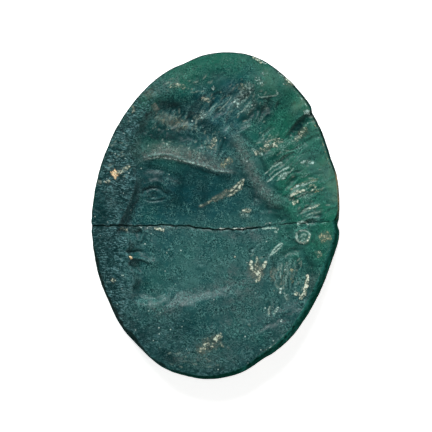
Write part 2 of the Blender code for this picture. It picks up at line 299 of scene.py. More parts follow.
# the face, in shares of the head's height
face = {
    # centre, half sizes and depth in mm
    "hollows": {
        "cheek": ((-0.27, 0.38), (4.8, 4.2), 0.55),
        "cheekbone": ((-0.20, 0.40), (1.7, 1.1), 0.10),
        "socket": ((-0.105, 0.500), (1.5, 0.95), -0.22),
        "eyeball": ((-0.088, 0.490), (0.60, 0.42), 0.26),
        "pupil": ((-0.070, 0.492), (0.15, 0.19), -0.12),
        "noseTip": ((0.026, 0.326), (0.45, 0.34), 0.16),
        "nostril": ((-0.022, 0.318), (0.42, 0.32), 0.24),
        "upperLip": ((-0.010, 0.236), (0.62, 0.24), 0.20),
        "lowerLip": ((-0.014, 0.181), (0.54, 0.27), 0.22),
        "mouthCorner": ((-0.092, 0.194), (0.30, 0.30), -0.10),
        "underLip": ((-0.022, 0.128), (0.62, 0.26), -0.11),
        "chin": ((-0.050, 0.068), (1.0, 0.8), 0.16),
    },
    # width and depth in mm, how short the tapered ends are, and the path
    "cuts": {
        "brow": (0.30, 0.12, 2.2, (-0.004, 0.558), (-0.055, 0.583), (-0.120, 0.586), (-0.185, 0.562),
                 (-0.245, 0.530)),
        "lidCrease": (0.13, -0.07, 4.0, (-0.046, 0.528), (-0.090, 0.543), (-0.140, 0.529), (-0.190, 0.494)),
        "upperLid": (0.14, 0.16, 5.0, (-0.046, 0.484), (-0.058, 0.507), (-0.088, 0.520), (-0.128, 0.508),
                     (-0.168, 0.482)),
        "lowerLid": (0.12, 0.09, 4.0, (-0.052, 0.474), (-0.080, 0.462), (-0.115, 0.465), (-0.150, 0.479)),
        "bridge": (0.42, 0.24, 3.0, (-0.034, 0.545), (-0.016, 0.460), (0.016, 0.370), (0.036, 0.335)),
        "wing": (0.13, -0.12, 4.0, (-0.028, 0.352), (-0.052, 0.325), (-0.044, 0.296), (-0.018, 0.292)),
        "fold": (0.36, -0.06, 2.2, (-0.062, 0.310), (-0.098, 0.262), (-0.116, 0.205)),
        "mouthLine": (0.11, -0.15, 6.0, (0.012, 0.208), (-0.022, 0.210), (-0.058, 0.204), (-0.084, 0.194)),
    },
}


def faceRelief(u, v):
    relief = np.zeros(np.shape(u))
    for centre, radii, depth in face["hollows"].values():
        relief += hollow(u, v, facePoint(*centre), radii, depth)
    for width, depth, ends, *path in face["cuts"].values():
        relief += groove(u, v, faceLine(path), width, depth, ends)
    return relief


def jawRelief(u, v):
    jaw = [(-0.54, 0.19), (-0.42, 0.105), (-0.27, 0.055), (-0.16, -0.012), (-0.05, -0.010), (0.01, 0.03)]
    relief = -scarp(u, v, faceLine(jaw), 0.30, 1.0, 1.9, ends=4.0)
    return relief + hollow(u, v, (2.8, -8.0), (3.6, 1.7), 0.14, 14.0)


# the lower edge of the front hair
crest = smoothPath([
    (-7.0, 3.4), (-6.0, 4.2), (-4.7, 4.52), (-3.2, 4.36), (-1.5, 3.98), (0.2, 3.45), (2.1, 3.25),
])


def overCrest(u, v):
    # signed height over the hair's lower edge, and a window along it
    height = v - np.interp(u, crest[:, 0], crest[:, 1])
    return height, ramp(u, -6.6, -4.8) * ramp(u, 2.0, 0.4)


def frontHair(u, v):
    over, window = overCrest(u, v)
    soft = 0.40 + 0.35 * ramp(u, -0.8, 0.8)
    relief = 0.18 * window * (smoothStep(0.2 - over / soft) * np.exp(np.minimum(over, 0.0) / 1.3) - 0.5)
    relief += 0.14 * window * smoothStep(over / 1.6) * ramp(over, 3.4, 1.8)
    relief -= 0.06 * window * bell(over, 0.20, 0.11)
    relief += 0.035 * hollow(u, v, (-3.2, 7.3), (2.6, 1.1), 1.0, -20.0) * layeredNoise(u, v, 0.40, 29)
    relief += groove(u, v, [(-6.4, 7.0), (-4.8, 7.1), (-2.8, 6.7), (-0.9, 6.0)], 0.60, 0.10, ends=3.0)
    wave = [(-5.9, 8.2), (-4.2, 8.4), (-2.6, 7.85), (-1.0, 6.7), (0.8, 5.6)]
    relief += groove(u, v, wave, 0.80, 0.22, ends=3.0)
    for curl in range(12):
        swing = math.sin(7.3 * curl + 0.4)
        tipU, tipV = -5.6 + 0.46 * curl + 0.22 * swing, 8.2 - 0.20 * curl + 0.42 * math.sin(2.7 * curl)
        strand = [(tipU, tipV), (tipU - 0.16 * swing, tipV - 0.40), (tipU + 0.22, tipV - 0.75)]
        relief += groove(u, v, strand, 0.13, 0.055 + 0.025 * swing)
    for tuft in range(6):
        rootU, rootV = -1.1 + 0.36 * tuft, 6.2 - 0.36 * tuft + 0.25 * math.sin(4.1 * tuft)
        strand = [(rootU, rootV), (rootU - 0.05, rootV - 0.5), (rootU + 0.2, rootV - 0.9)]
        relief += groove(u, v, strand, 0.13, 0.055)
    return relief


def crownHair(u, v):
    relief = np.zeros(np.shape(u))
    for wave in range(6):
        topU = -0.5 + 1.05 * wave + 0.30 * math.sin(4.3 * wave + 1.0)
        topV = 10.3 - 0.22 * wave + 0.35 * math.sin(3.0 * wave)
        length = 3.5 - 0.20 * wave + 0.8 * math.sin(2.0 * wave + 1.0)
        deep = 0.15 + 0.07 * math.sin(5.3 * wave)
        points = [
            (topU, topV), (topU - 0.16 * length, topV - 0.14 * length),
            (topU - 0.34 * length, topV - 0.55 * length), (topU - 0.90 * length, topV - 0.82 * length),
        ]
        relief += groove(u, v, points, 0.38 + 0.10 * math.sin(5.0 * wave), deep)
        relief += groove(u, v, moved(points, 0.50, -0.22), 0.15, -0.4 * deep)
        relief += groove(u, v, moved(points[1:], 0.78, -0.05), 0.15, 0.3 * deep)
    relief += groove(u, v, [(-1.6, 10.5), (-0.4, 11.0), (0.8, 10.8)], 0.50, 0.20, ends=3.0)
    return relief + groove(u, v, [(3.3, 9.25), (3.9, 9.25), (4.6, 9.38), (4.9, 9.7)], 0.12, 0.04)


def fillet(u, v):
    band = [(-0.4, 7.8), (0.9, 6.6), (2.3, 4.9), (3.3, 2.9), (4.5, 1.4), (5.9, 0.2), (6.9, -1.9), (7.8, -4.4)]
    trench = moved(band[1:], -0.80, -0.65)
    worn = 1.0 + 0.55 * layeredNoise(u, v, 0.9, 23)
    relief = groove(u, v, trench, 0.60, 0.17, ends=3.0) * worn
    relief += groove(u, v, band, 0.50, -0.11) * worn
    return relief + groove(u, v, moved(band, 0.62, 0.50), 0.22, 0.10) * worn


def backHair(u, v):
    relief = np.zeros(np.shape(u))
    for lock in range(8):
        lift = math.radians(40.0 - 2.5 * lock + 9.0 * math.sin(2.3 * lock))
        rootU, rootV = 2.9 + 0.55 * lock, 5.7 - 0.93 * lock + 0.28 * math.sin(5.0 * lock)
        reach = 2.2 - 0.05 * lock + 0.7 * math.sin(4.1 * lock)
        for row in range(2):
            deep = (0.11 + 0.05 * math.sin(3.7 * lock + row)) * (1.0 - 0.45 * row)
            startU = rootU + row * (reach + 0.3) * math.cos(lift)
            startV = rootV + row * (reach + 0.3) * math.sin(lift) + 0.5 * row
            stepU, stepV = reach * math.cos(lift), reach * math.sin(lift)
            halfway = (startU + 0.5 * stepU, startV + 0.5 * stepV + 0.15)
            points = [(startU, startV), halfway, (startU + stepU, startV + stepV)]
            relief += groove(u, v, points, 0.30 + 0.08 * math.sin(6.1 * lock), deep, ends=2.5)
            relief += groove(u, v, moved(points, 0.12, 0.32), 0.11, -0.5 * deep)
            relief += groove(u, v, moved(points[1:], 0.30, 0.50), 0.12, 0.4 * deep)
    return relief


# middle, half sizes and the way the hair runs in degrees, in the head's frame
hairZones = [
    ((0.9, 8.7), (3.6, 2.3), 42.0), ((-3.2, 7.6), (2.6, 1.1), 70.0), ((0.0, 5.2), (1.3, 1.1), 68.0),
    ((5.2, 5.2), (2.2, 1.8), 40.0), ((6.7, 2.4), (2.2, 1.8), 31.0), ((7.6, -0.2), (1.5, 1.2), 22.0),
    ((5.6, -4.7), (1.5, 1.7), 80.0), ((4.5, -7.3), (0.8, 0.7), 76.0), ((3.4, -2.9), (1.2, 1.2), 62.0),
]


def strands(u, v):
    # fine hair from -1 to 1, drawn out along the way it runs
    total = np.zeros(np.shape(u))
    for zone, (middle, sizes, flow) in enumerate(hairZones):
        window = smoothStep(1.6 - 1.3 * np.hypot((u - middle[0]) / sizes[0], (v - middle[1]) / sizes[1]))
        along, across = turned(u, v, -math.radians(flow))
        across = across + 0.10 * np.sin(1.8 * along + zone)
        total = total + window * layeredNoise(along / 4.0, across, 0.24, 101 + 3 * zone, 2)
    return np.clip(total, -1.0, 1.0)


def napeHair(u, v):
    relief = groove(u, v, [(4.0, -4.7), (4.9, -3.4), (6.1, -2.85), (7.2, -3.2)], 0.28, 0.09, ends=3.0)
    for strand in range(8):
        topU, topV = 4.4 + 0.36 * strand, -3.6 + 0.35 * math.sin(2.9 * strand)
        reach = 2.1 + 0.5 * math.sin(4.7 * strand)
        points = [(topU, topV), (topU + 0.25, topV - 0.5 * reach), (topU + 0.02, topV - reach)]
        relief += groove(u, v, points, 0.13, 0.05)
    for strand in range(4):
        topU, topV = 2.2 + 0.62 * strand, -2.2 - 0.25 * strand
        points = [(topU, topV), (topU + 0.35, topV - 1.1), (topU + 0.1, topV - 2.2)]
        relief += groove(u, v, points, 0.18, 0.05)
    ring = np.hypot(u - 6.85, v + 1.60) - 0.60
    broken = limited(0.8 + 0.6 * layeredNoise(u, v, 0.45, 33), 1.3)
    return relief - 0.10 * broken * np.exp(-((ring / 0.15) ** 2))


def neckline(u, v):
    fold = [(-0.4, -10.0), (2.2, -9.5), (4.4, -8.4), (6.4, -7.4), (8.0, -6.0)]
    ridge = moved(fold, 0.1, -0.42)
    return groove(u, v, fold, 0.18, 0.03) + groove(u, v, ridge, 0.3, -0.02)


flake = {
    "edge": [(8.7, 9.5), (7.56, 8.62), (6.95, 8.2), (6.2, 7.45), (5.45, 6.55), (4.9, 5.95)],
    # depth of the step, width of its slope and how far it runs out, in mm
    "drop": 0.30,
    "wall": 0.42,
    "run": 1.3,
    # share of the head's own wavering that its edge takes on
    "waver": 0.4,
    "roughness": 0.45,
}


def flakeStep(u, v, drop, wall, run):
    # a step that starts at the broken edge, on the side that is lost
    wu, wv = warped(u, v)
    edgeU, edgeV = u + flake["waver"] * (wu - u), v + flake["waver"] * (wv - v)
    return scarp(edgeU, edgeV, flake["edge"], drop, wall, run, ends=4.0)


def lostFlake(u, v):
    # a broken step at the upper right; the lost side is rough
    step = flakeStep(u, v, flake["drop"], flake["wall"], flake["run"])
    return step * (1.0 + flake["roughness"] * layeredNoise(u, v, 0.50, 25))


def corrosion(u, v):
    # 1 in the rough field at the left, lower at the bottom and in the front hair
    left = ramp(u - 0.15 * v, -4.8, -7.4)
    low = ramp(v + 0.35 * u, -7.6, -10.1)
    hair = hollow(u, v, (-2.6, 7.2), (3.4, 1.5), 0.35, -20.0)
    blotches = 0.18 * layeredNoise(u, v, 1.5, 57)
    return limited(0.10 + 0.9 * left + 0.35 * low + hair + blotches)


def warped(u, v):
    # hand-cut lines waver a little
    wu = u + 0.16 * layeredNoise(u, v, 1.7, 3) + 0.07 * layeredNoise(u, v, 0.6, 9)
    wv = v + 0.16 * layeredNoise(u, v, 1.7, 5) + 0.07 * layeredNoise(u, v, 0.6, 8)
    return wu, wv


def carvedBowl(u, v):
    # the head as one smooth hollow, and how fully the details stand at a place
    inward = insideDepth(u, v, headOutline())
    atFace = ramp(u, -3.0, -5.5) * ramp(v, -8.0, -6.5)
    wall = head["softWall"] + (head["faceWall"] - head["softWall"]) * atFace
    shallow = ramp(v, -11.2, -4.7) * ramp(v, 13.5, 9.5)
    return head["depth"] * smoothStep(inward / wall) * shallow, smoothStep(inward / (0.5 * wall))


def carvedDetails(u, v):
    details = faceRelief(u, v) + jawRelief(u, v) + frontHair(u, v) + crownHair(u, v) + fillet(u, v)
    return details + backHair(u, v) + napeHair(u, v) + neckline(u, v) - head["strandDepth"] * strands(u, v)


wear = {
    # depth and spacing in mm, seed and layers of each unevenness
    "swell": (0.030, 2.0, 21, 3),
    "lumps": (0.012, 0.42, 27, 2),
    "pits": (0.018, 0.45, 31, 3),
    "finePits": (0.012, 0.2, 35, 3),
    "crustHeight": 0.035,
    # depth of the chips on the crack's edges, and how far they reach
    "crackChips": 0.13,
    "chipReach": 0.08,
    # how far round a place its depth is compared
    "cavityReach": 0.12,
}


def wornBy(u, v, kind):
    depth, spacing, seed, layers = wear[kind]
    return depth * layeredNoise(u, v, spacing, seed, layers)


def surfaceDepth(x, y, u, v):
    # weathering, the lost flake, the broken edge and the crust
    wu, wv = warped(u, v)
    worn = wornBy(u, v, "swell") + wornBy(wu, wv, "lumps")
    worn = worn + corrosion(u, v) * (wornBy(wu, wv, "pits") + wornBy(u, v, "finePits"))
    crust = residueMasks(u, v)
    built = wear["crustHeight"] * np.maximum(crust["cream"], crust["ochre"])
    bite = limited(0.45 + layeredNoise(x, y, 0.5, 51))
    chipped = wear["crackChips"] * bite * np.exp(-crackDistance(x, y) / wear["chipReach"]) * crackOpen(x)
    return lostFlake(u, v) + worn + chipped - built


def reliefDepth(x, y):
    u, v = turned(x, y, -stone["headTilt"])
    bowl, within = carvedBowl(*warped(u, v))
    return bowl + within * carvedDetails(*warped(u, v)) + surfaceDepth(x, y, u, v)


def cavity(x, y):
    # how much deeper a place lies than three places round it, in mm
    reach = wear["cavityReach"]
    deeper = np.zeros(np.shape(x))
    for angle, weight in ((None, 1.0), (0.5, -1.0 / 3.0), (2.6, -1.0 / 3.0), (4.7, -1.0 / 3.0)):
        nearX = x if angle is None else x + reach * math.cos(angle)
        nearY = y if angle is None else y + reach * math.sin(angle)
        u, v = turned(nearX, nearY, -stone["headTilt"])
        deeper = deeper + weight * (carvedDetails(*warped(u, v)) + surfaceDepth(nearX, nearY, u, v))
    return deeper


def faceHeight(x, y):
    share = (2.0 * x / stone["width"]) ** 2 + (2.0 * y / stone["length"]) ** 2
    return stone["rimHeight"] + stone["domeRise"] * (1.0 - share) - reliefDepth(x, y)


# The two fragments

crack = {
    "gap": 0.07,
    "slant": 0.16,
    # share of the rim's side over which it meets the crack
    "meet": 1.0 / 6.0,
    "path": [(-9.95, -0.80), (-7.7, -0.76), (-5.8, -0.80), (-4.5, -0.72), (-2.1, -0.84), (-0.5, -1.06),
             (2.4, -1.05), (4.3, -0.72), (5.6, -0.62), (8.0, -0.50), (9.9, -0.36)],
    "pathSteps": 12,
    # height in mm of the waves on the break, and how fast they run along x and z
    "waves": [(0.03, 3.7, 1.3), (0.025, 8.3, -2.1)],
    # how much tighter it fits towards the right, and from where to where
    "tightening": 0.6,
    "tightSpan": (3.2, 4.4),
    "left": math.radians(190.9),
    "right": math.radians(4.4),
}

grid = {
    "across": 330,
    "up": 215,
    "smoothAngle": math.radians(55),
    # degrees at which the far side of the grid starts and ends
    "upperCorners": (138, 48),
    "lowerCorners": (222, 318),
    # share of the height and of the flare, from the edge of the face down
    "wallRows": [(0.985, 0.18), (0.965, 0.34), (0.92, 0.44), (0.84, 0.54), (0.72, 0.63), (0.60, 0.71),
                 (0.48, 0.80), (0.36, 0.88), (0.24, 0.94), (0.13, 0.99), (0.05, 0.98), (0.0, 0.86)],
}


def crackHeight(x, z):
    path = smoothPath(crack["path"], steps=crack["pathSteps"])
    pathX, pathY = turned(path[:, 0], path[:, 1], stone["headTilt"])
    waves = sum(height * np.sin(fastX * x + fastZ * z) for height, fastX, fastZ in crack["waves"])
    return np.interp(x, pathX, pathY) + crack["slant"] * (z / stone["rimHeight"] - 1.0) + waves


def crackDistance(x, y):
    return np.abs(y - crackHeight(x, stone["rimHeight"]))


def crackOpen(x):
    return 1.0 - crack["tightening"] * ramp(x, *crack["tightSpan"])


def cornerAngles(upper):
    farLeft, farRight = grid["upperCorners" if upper else "lowerCorners"]
    lap = 0.0 if upper else 2.0 * math.pi
    return crack["left"], math.radians(farLeft), math.radians(farRight), crack["right"] + lap


def crackEdge(upper, s, out, z):
    angles = cornerAngles(upper)
    leftX, _ = rimPoint(np.array(angles[0]), out)
    rightX, _ = rimPoint(np.array(angles[3]), out)
    x = leftX + (rightX - leftX) * s
    return x, crackHeight(x, z) + (0.5 if upper else -0.5) * crack["gap"] * crackOpen(x)


def rimSide(upper, part, share, out, z):
    crackLeft, farLeft, farRight, crackRight = cornerAngles(upper)
    ends = {"left": (crackLeft, farLeft), "far": (farLeft, farRight), "right": (crackRight, farRight)}
    start, end = ends[part]
    x, y = rimPoint(start + (end - start) * np.asarray(share), out)
    if part == "far":
        return x, y
    _, cornerY = crackEdge(upper, 0.0 if part == "left" else 1.0, out, z)
    _, rimY = rimPoint(np.array(start), out)
    return x, y + (cornerY - rimY) * (1.0 - smoothStep(share / crack["meet"]))


def facePlace(upper, s, t):
    # the unit square stretched between the crack edge and the rim
    top = stone["rimHeight"]
    near, far = crackEdge(upper, s, 0.0, top), rimSide(upper, "far", s, 0.0, top)
    left, right = rimSide(upper, "left", t, 0.0, top), rimSide(upper, "right", t, 0.0, top)
    corners = [
        (crackEdge(upper, 0.0, 0.0, top), (1 - s) * (1 - t)),
        (crackEdge(upper, 1.0, 0.0, top), s * (1 - t)),
        (rimSide(upper, "far", 0.0, 0.0, top), (1 - s) * t),
        (rimSide(upper, "far", 1.0, 0.0, top), s * t),
    ]
    return [
        (1 - t) * near[k] + t * far[k] + (1 - s) * left[k] + s * right[k]
        - sum(weight * corner[k] for corner, weight in corners)
        for k in (0, 1)
    ]


def wallPlaces(upper, s, t, z, out):
    points = np.column_stack([s, t, z])
    near, far = t == 0.0, t == 1.0
    left, right = ~near & ~far & (s == 0.0), ~near & ~far & (s == 1.0)
    points[near, :2] = np.column_stack(crackEdge(upper, s[near], out, z[near]))
    points[far, :2] = np.column_stack(rimSide(upper, "far", s[far], out, z[far]))
    points[left, :2] = np.column_stack(rimSide(upper, "left", t[left], out, z[left]))
    points[right, :2] = np.column_stack(rimSide(upper, "right", t[right], out, z[right]))
    return points


def vertexPoints(piece):
    flat = np.empty(len(piece.data.vertices) * 3, np.float32)
    piece.data.vertices.foreach_get("co", flat)
    return flat.reshape(-1, 3).astype(float)


def placeSelected(piece, rowPoints):
    # puts each selected vertex at the point of its place on the grid
    mesh = piece.data
    points = vertexPoints(piece)
    chosen = np.empty(len(mesh.vertices), bool)
    mesh.vertices.foreach_get("select", chosen)
    place = np.empty(len(mesh.vertices), np.int32)
    mesh.attributes["place"].data.foreach_get("value", place)
    points[chosen] = rowPoints[place[chosen]] * mm
    mesh.vertices.foreach_set("co", points.astype(np.float32).ravel())
    mesh.update()


def modelFragment(name, upper):
    print("modelling", name)
    bpy.ops.object.select_all(action="DESELECT")
    bpy.ops.mesh.primitive_grid_add(x_subdivisions=grid["across"], y_subdivisions=grid["up"], size=1.0,
                                    location=(0.5, 0.5, 0.0))
    piece = bpy.context.object
    piece.name = piece.data.name = name
    bpy.ops.object.transform_apply(location=True, rotation=False, scale=False)
    s, t = vertexPoints(piece).round(5)[:, :2].T
    place = piece.data.attributes.new("place", "INT", "POINT")
    place.data.foreach_set("value", np.arange(len(s), dtype=np.int32))
    faceX, faceY = facePlace(upper, s, t)
    faceZ = faceHeight(faceX, faceY)
    placeSelected(piece, np.column_stack([faceX, faceY, faceZ]))
    bpy.ops.object.mode_set(mode="EDIT")
    bpy.ops.mesh.select_mode(type="EDGE")
    bpy.ops.mesh.select_all(action="DESELECT")
    bpy.ops.mesh.select_non_manifold(extend=False, use_wire=False, use_boundary=True, use_multi_face=False,
                                     use_non_contiguous=False, use_verts=False)
    faceCount = len(piece.data.polygons)
    for height, out in grid["wallRows"]:
        bpy.ops.mesh.extrude_edges_move()
        bpy.ops.object.mode_set(mode="OBJECT")
        placeSelected(piece, wallPlaces(upper, s, t, faceZ * height, out))
        bpy.ops.object.mode_set(mode="EDIT")
    bpy.ops.mesh.edge_face_add()
    bpy.ops.mesh.select_all(action="SELECT")
    bpy.ops.mesh.normals_make_consistent(inside=False)
    bpy.ops.object.mode_set(mode="OBJECT")
    # material slots: 0 is the carved face, 1 the wall and the break, 2 the back
    finish = np.ones(len(piece.data.polygons), np.int32)
    finish[:faceCount] = 0
    finish[max(piece.data.polygons, key=lambda face: face.loop_total).index] = 2
    piece.data.polygons.foreach_set("material_index", finish)
    bpy.ops.object.shade_smooth_by_angle(angle=grid["smoothAngle"])
    return piece


# Finish of the glass

glass = {
    "deep": (0.004, 0.057, 0.060, 1.0),
    "blue": (0.004, 0.068, 0.098, 1.0),
    "emerald": (0.008, 0.122, 0.074, 1.0),
    "bloomAndSheen": (0.036, 0.122, 0.113, 1.0),
    "filmAndSheen": (0.100, 0.128, 0.128, 1.0),
    "dark": (0.001, 0.020, 0.022, 1.0),
    "pale": (0.078, 0.215, 0.198, 1.0),
    "paleGreen": (0.045, 0.235, 0.165, 1.0),
    "olive": (0.095, 0.215, 0.145, 1.0),
    "ash": (0.128, 0.134, 0.122, 1.0),
    "wall": (0.002, 0.026, 0.018, 1.0),
    "stain": (0.25, 0.17, 0.08, 1.0),
    "cream": (0.28, 0.31, 0.21, 1.0),
    "paleCream": (0.62, 0.70, 0.57, 1.0),
    "ochre": (0.42, 0.23, 0.08, 1.0),
    "paleOchre": (0.80, 0.62, 0.38, 1.0),
    "sand": (0.21, 0.23, 0.13, 1.0),
    "paleSand": (0.44, 0.44, 0.29, 1.0),
    "umber": (0.085, 0.100, 0.078, 1.0),
    "paleUmber": (0.15, 0.19, 0.16, 1.0),
    "frost": (0.11, 0.25, 0.26, 1.0),
    "speck": (0.24, 0.42, 0.38, 1.0),
    "paleSpeck": (0.50, 0.68, 0.62, 1.0),
    "glint": (0.34, 0.48, 0.43, 1.0),
    "paleGlint": (0.72, 0.80, 0.74, 1.0),
    "line": (0.36, 0.54, 0.47, 1.0),
    "fleck": (0.205, 0.285, 0.235, 1.0),
    "wallTint": (0.016, 0.120, 0.098, 1.0),
    "wallShade": (0.001, 0.006, 0.005, 1.0),
    "side": (0.005, 0.042, 0.040, 1.0),
    "roughness": (0.24, 0.42),
    "grainDepth": 0.035,
    # relief at which the painted shade in small hollows and the painted light on small ridges are full
    "cavityDepth": 0.022,
    "sheen": {
        "Subsurface Weight": 0.12,
        "Subsurface Radius": (0.35, 1.0, 0.9),
        "Subsurface Scale": 0.4 * mm,
        "Transmission Weight": 0.06,
        "IOR": 1.52,
        "Specular IOR Level": 0.09,
    },
    "wallSheen": {"Transmission Weight": 0.0, "IOR": 1.52, "Specular IOR Level": 0.0},
}


# soft patches of each shade in the head's frame: centre, radii, strength and turn in degrees
patches = {
    "olive": [
        ((6.75, 8.9), (0.9, 0.55), 1.3, 40.0), ((7.6, 6.5), (0.6, 0.9), 0.3),
        ((3.9, 11.3), (1.7, 0.8), 0.35, -35.0), ((-5.5, 9.7), (0.7, 0.6), 0.45),
        ((7.4, 4.0), (1.2, 0.8), 0.45), ((4.8, 10.3), (1.8, 1.0), 0.25), ((5.3, -4.6), (0.8, 1.3), 0.5),
        ((6.85, -1.6), (0.5, 0.55), 0.6), ((8.5, -1.8), (0.6, 0.6), 0.5), ((3.2, -0.7), (1.0, 0.25), 0.5),
    ],
    "ash": [
        ((-1.6, -11.3), (1.9, 0.55), 0.65), ((-3.4, 7.4), (1.9, 0.45), 0.35, -15.0),
        ((7.6, -5.4), (0.5, 0.9), 0.25), ((-6.2, 5.3), (0.9, 0.6), 0.45),
    ],
    "blue": [
        ((1.0, 8.6), (3.6, 2.5), 1.6, 30.0), ((-3.0, 1.2), (4.6, 2.4), 0.45),
    ],
    # painted shade: patches darkened where the carving turns away from the light; those with a strength below
    # 0 lighten
    "dark": [
        ((-3.2, 2.2), (3.8, 1.9), 0.85, -8.0), ((-4.2, 6.45), (2.3, 0.55), 1.8, -8.0),
        ((-0.5, 11.4), (3.2, 0.9), 0.25), ((-2.7, 9.1), (2.0, 0.8), 0.55, -10.0),
        ((-3.7, 8.55), (1.1, 0.5), 1.5, -12.0), ((5.4, 9.6), (0.8, 0.8), 0.4), ((-9.3, 0.6), (0.5, 1.6), 0.5),
        ((-1.0, 10.6), (1.2, 0.6), 0.6, 25.0), ((-0.9, 7.1), (1.8, 0.5), 1.0, -32.0),
        ((4.0, 7.9), (1.0, 1.0), 0.7), ((2.3, 6.9), (0.8, 0.5), 0.5, 30.0),
        ((-5.3, -9.5), (0.7, 1.6), 0.5, 38.0), ((3.6, -10.7), (1.5, 0.5), 0.5, 25.0),
        ((-9.4, -0.2), (0.5, 2.0), 0.6), ((3.4, 8.5), (1.3, 0.6), 0.4, 35.0), ((1.7, 2.9), (0.8, 0.8), 0.35),
        ((-2.6, -9.0), (1.1, 1.1), 0.5), ((4.6, 3.9), (1.5, 0.8), 0.45, 40.0),
        ((3.4, 8.0), (1.6, 0.6), 0.55, 35.0), ((5.0, 5.0), (1.6, 0.35), 0.45, 35.0),
        ((-5.4, 3.2), (0.8, 1.1), 0.5), ((5.2, 0.1), (1.5, 0.45), 0.5, -25.0),
        ((5.4, -2.9), (0.9, 0.5), 0.4, 35.0), ((7.5, -4.3), (0.35, 0.9), 0.35),
        ((-7.7, 6.2), (1.0, 0.9), -0.55, 60.0), ((5.6, 3.8), (0.5, 0.5), 0.6), ((0.2, 8.2), (0.7, 0.5), 0.6),
        ((5.6, -7.7), (1.5, 0.4), 0.6, 18.0), ((8.1, -5.2), (0.4, 1.2), 0.4, -20.0),
        ((7.7, -4.2), (0.8, 2.0), 0.55), ((4.5, -8.7), (1.5, 0.5), 0.45, 20.0),
        ((6.2, 6.6), (1.6, 0.9), 0.35, 45.0), ((0.0, -12.3), (1.4, 0.45), 0.6),
        ((-3.9, -11.0), (1.1, 0.5), 0.8, -30.0), ((7.9, -0.35), (0.7, 0.3), -0.9),
        ((-0.6, 7.0), (0.8, 0.5), 0.4), ((-0.4, 9.7), (0.8, 0.5), 0.4),
    ],
    # painted sheen: the grey haze is stronger where the carving faces the light
    "bloomAndSheen": [
        ((0.2, -3.6), (4.6, 2.8), 0.55), ((7.8, 3.4), (1.3, 3.2), 0.25, 12.0), ((4.4, -1.8), (2.4, 2.4), 0.4),
        ((2.6, 3.4), (1.6, 2.4), 0.5, 20.0),
    ],
    # painted sheen: grey patches where the carving faces the light
    "filmAndSheen": [
        ((1.8, -5.2), (2.4, 1.5), 0.4, 15.0), ((2.8, -1.6), (1.8, 0.5), 0.45), ((3.6, 1.7), (0.5, 0.6), 0.4),
        ((-3.6, 10.4), (1.6, 0.7), 0.45, 25.0), ((-1.1, 7.9), (0.9, 0.6), 0.4),
    ],
    "worn": [
        ((-9.2, 0.4), (0.6, 2.0), 0.9), ((-3.9, -11.1), (1.2, 0.6), 0.8, -30.0),
    ],
    "bluer": [
        ((0.4, 8.6), (3.4, 2.4), 1.1, 30.0), ((-3.9, 7.6), (2.4, 1.8), 0.8),
    ],
}


def patched(u, v, shade):
    return sum(hollow(u, v, *patch) for patch in patches[shade])


def uneven(u, v, mask, least, spread, scale, seed):
    # a mask broken up by noise and kept from 0 to 1
    return limited(mask * (least + spread * layeredNoise(u, v, scale, seed)))


def emeraldMask(u, v):
    # painted light: brighter emerald towards the right and top edges, where light shines through the thinner
    # glass
    rim = np.hypot(u / 9.8, v / 13.0)
    angle = np.degrees(np.arctan2(v, u))
    window = ramp(angle, -50.0, -5.0) * ramp(angle, 150.0, 115.0)
    mask = window * ramp(rim, 0.30, 0.70) * (0.95 + 0.45 * layeredNoise(u, v, 1.3, 81))
    mask = limited(mask + 0.15 * layeredNoise(u, v, 2.4, 85))
    return mask * (1.0 - limited(patched(u, v, "bluer"), 0.9))


def oliveMask(u, v):
    # worn yellowish glass along the right edge, and in small patches
    mask = groove(u, v, [(9.3, 0.8), (9.25, 2.0), (9.0, 3.2), (8.55, 4.6)], 0.60, 1.1, ends=6.0)
    return uneven(u, v, mask + patched(u, v, "olive"), 0.9, 0.6, 0.5, 91)


def ashMask(u, v):
    # grey on the band over the brow, a painted sheen where it faces the light, and grey low down
    over, window = overCrest(u, v)
    band = 0.95 * window * ramp(over, -0.02, 0.10) * ramp(over, 1.25, 0.75) * ramp(u, 0.6, -0.9)
    return uneven(u, v, band + patched(u, v, "ash"), 0.85, 0.7, 0.45, 79)


def blueMask(u, v):
    return uneven(u, v, patched(u, v, "blue") + 0.15 * ramp(u, -5.5, -7.5), 0.8, 0.6, 1.1, 87)


def darkMask(u, v):
    # painted shade under the hair's lower edge, in the trench beside the band, below the lost flake's step
    # and in patches where the carving turns from the light; also darker towards the left edge and the low rim
    over, window = overCrest(u, v)
    mask = patched(u, v, "dark") + 0.4 * window * ramp(over, 0.04, -0.36) * np.exp(np.minimum(over, 0.0))
    mask = mask + groove(u, v, [(1.6, 4.0), (2.3, 2.5), (3.2, 1.2), (4.6, 0.0), (5.6, -0.6)], 0.40, 0.40)
    # painted shadow below the lost flake's broken step
    wedge = 2.6 * flakeStep(u, v, 1.0, 0.06, 0.50) * hollow(u, v, (6.60, 7.55), (1.25, 0.80), 1.0, 44.0)
    mask = mask + wedge * (1.0 + 0.5 * layeredNoise(u, v, 0.35, 89))
    mask = mask + 0.95 * ramp(u - 0.1 * v, -6.2, -8.7)
    low = ramp(np.hypot(u / 9.75, v / 12.95), 0.90, 0.97) * ramp(v, 2.0, -4.0) * ramp(u, 5.0, 1.0)
    return uneven(u, v, mask + 0.55 * low, 0.9, 0.35, 0.9, 83)


def bloomMask(u, v):
    # grey haze: random tone all over, painted sheen in patches where the carving faces the light, and less
    # under the painted shade
    mask = 0.26 + 0.22 * layeredNoise(u, v, 2.2, 61) + 0.12 * layeredNoise(u, v, 0.5, 71)
    return limited((mask + patched(u, v, "bloomAndSheen")) * (1.0 - 0.8 * darkMask(u, v)))


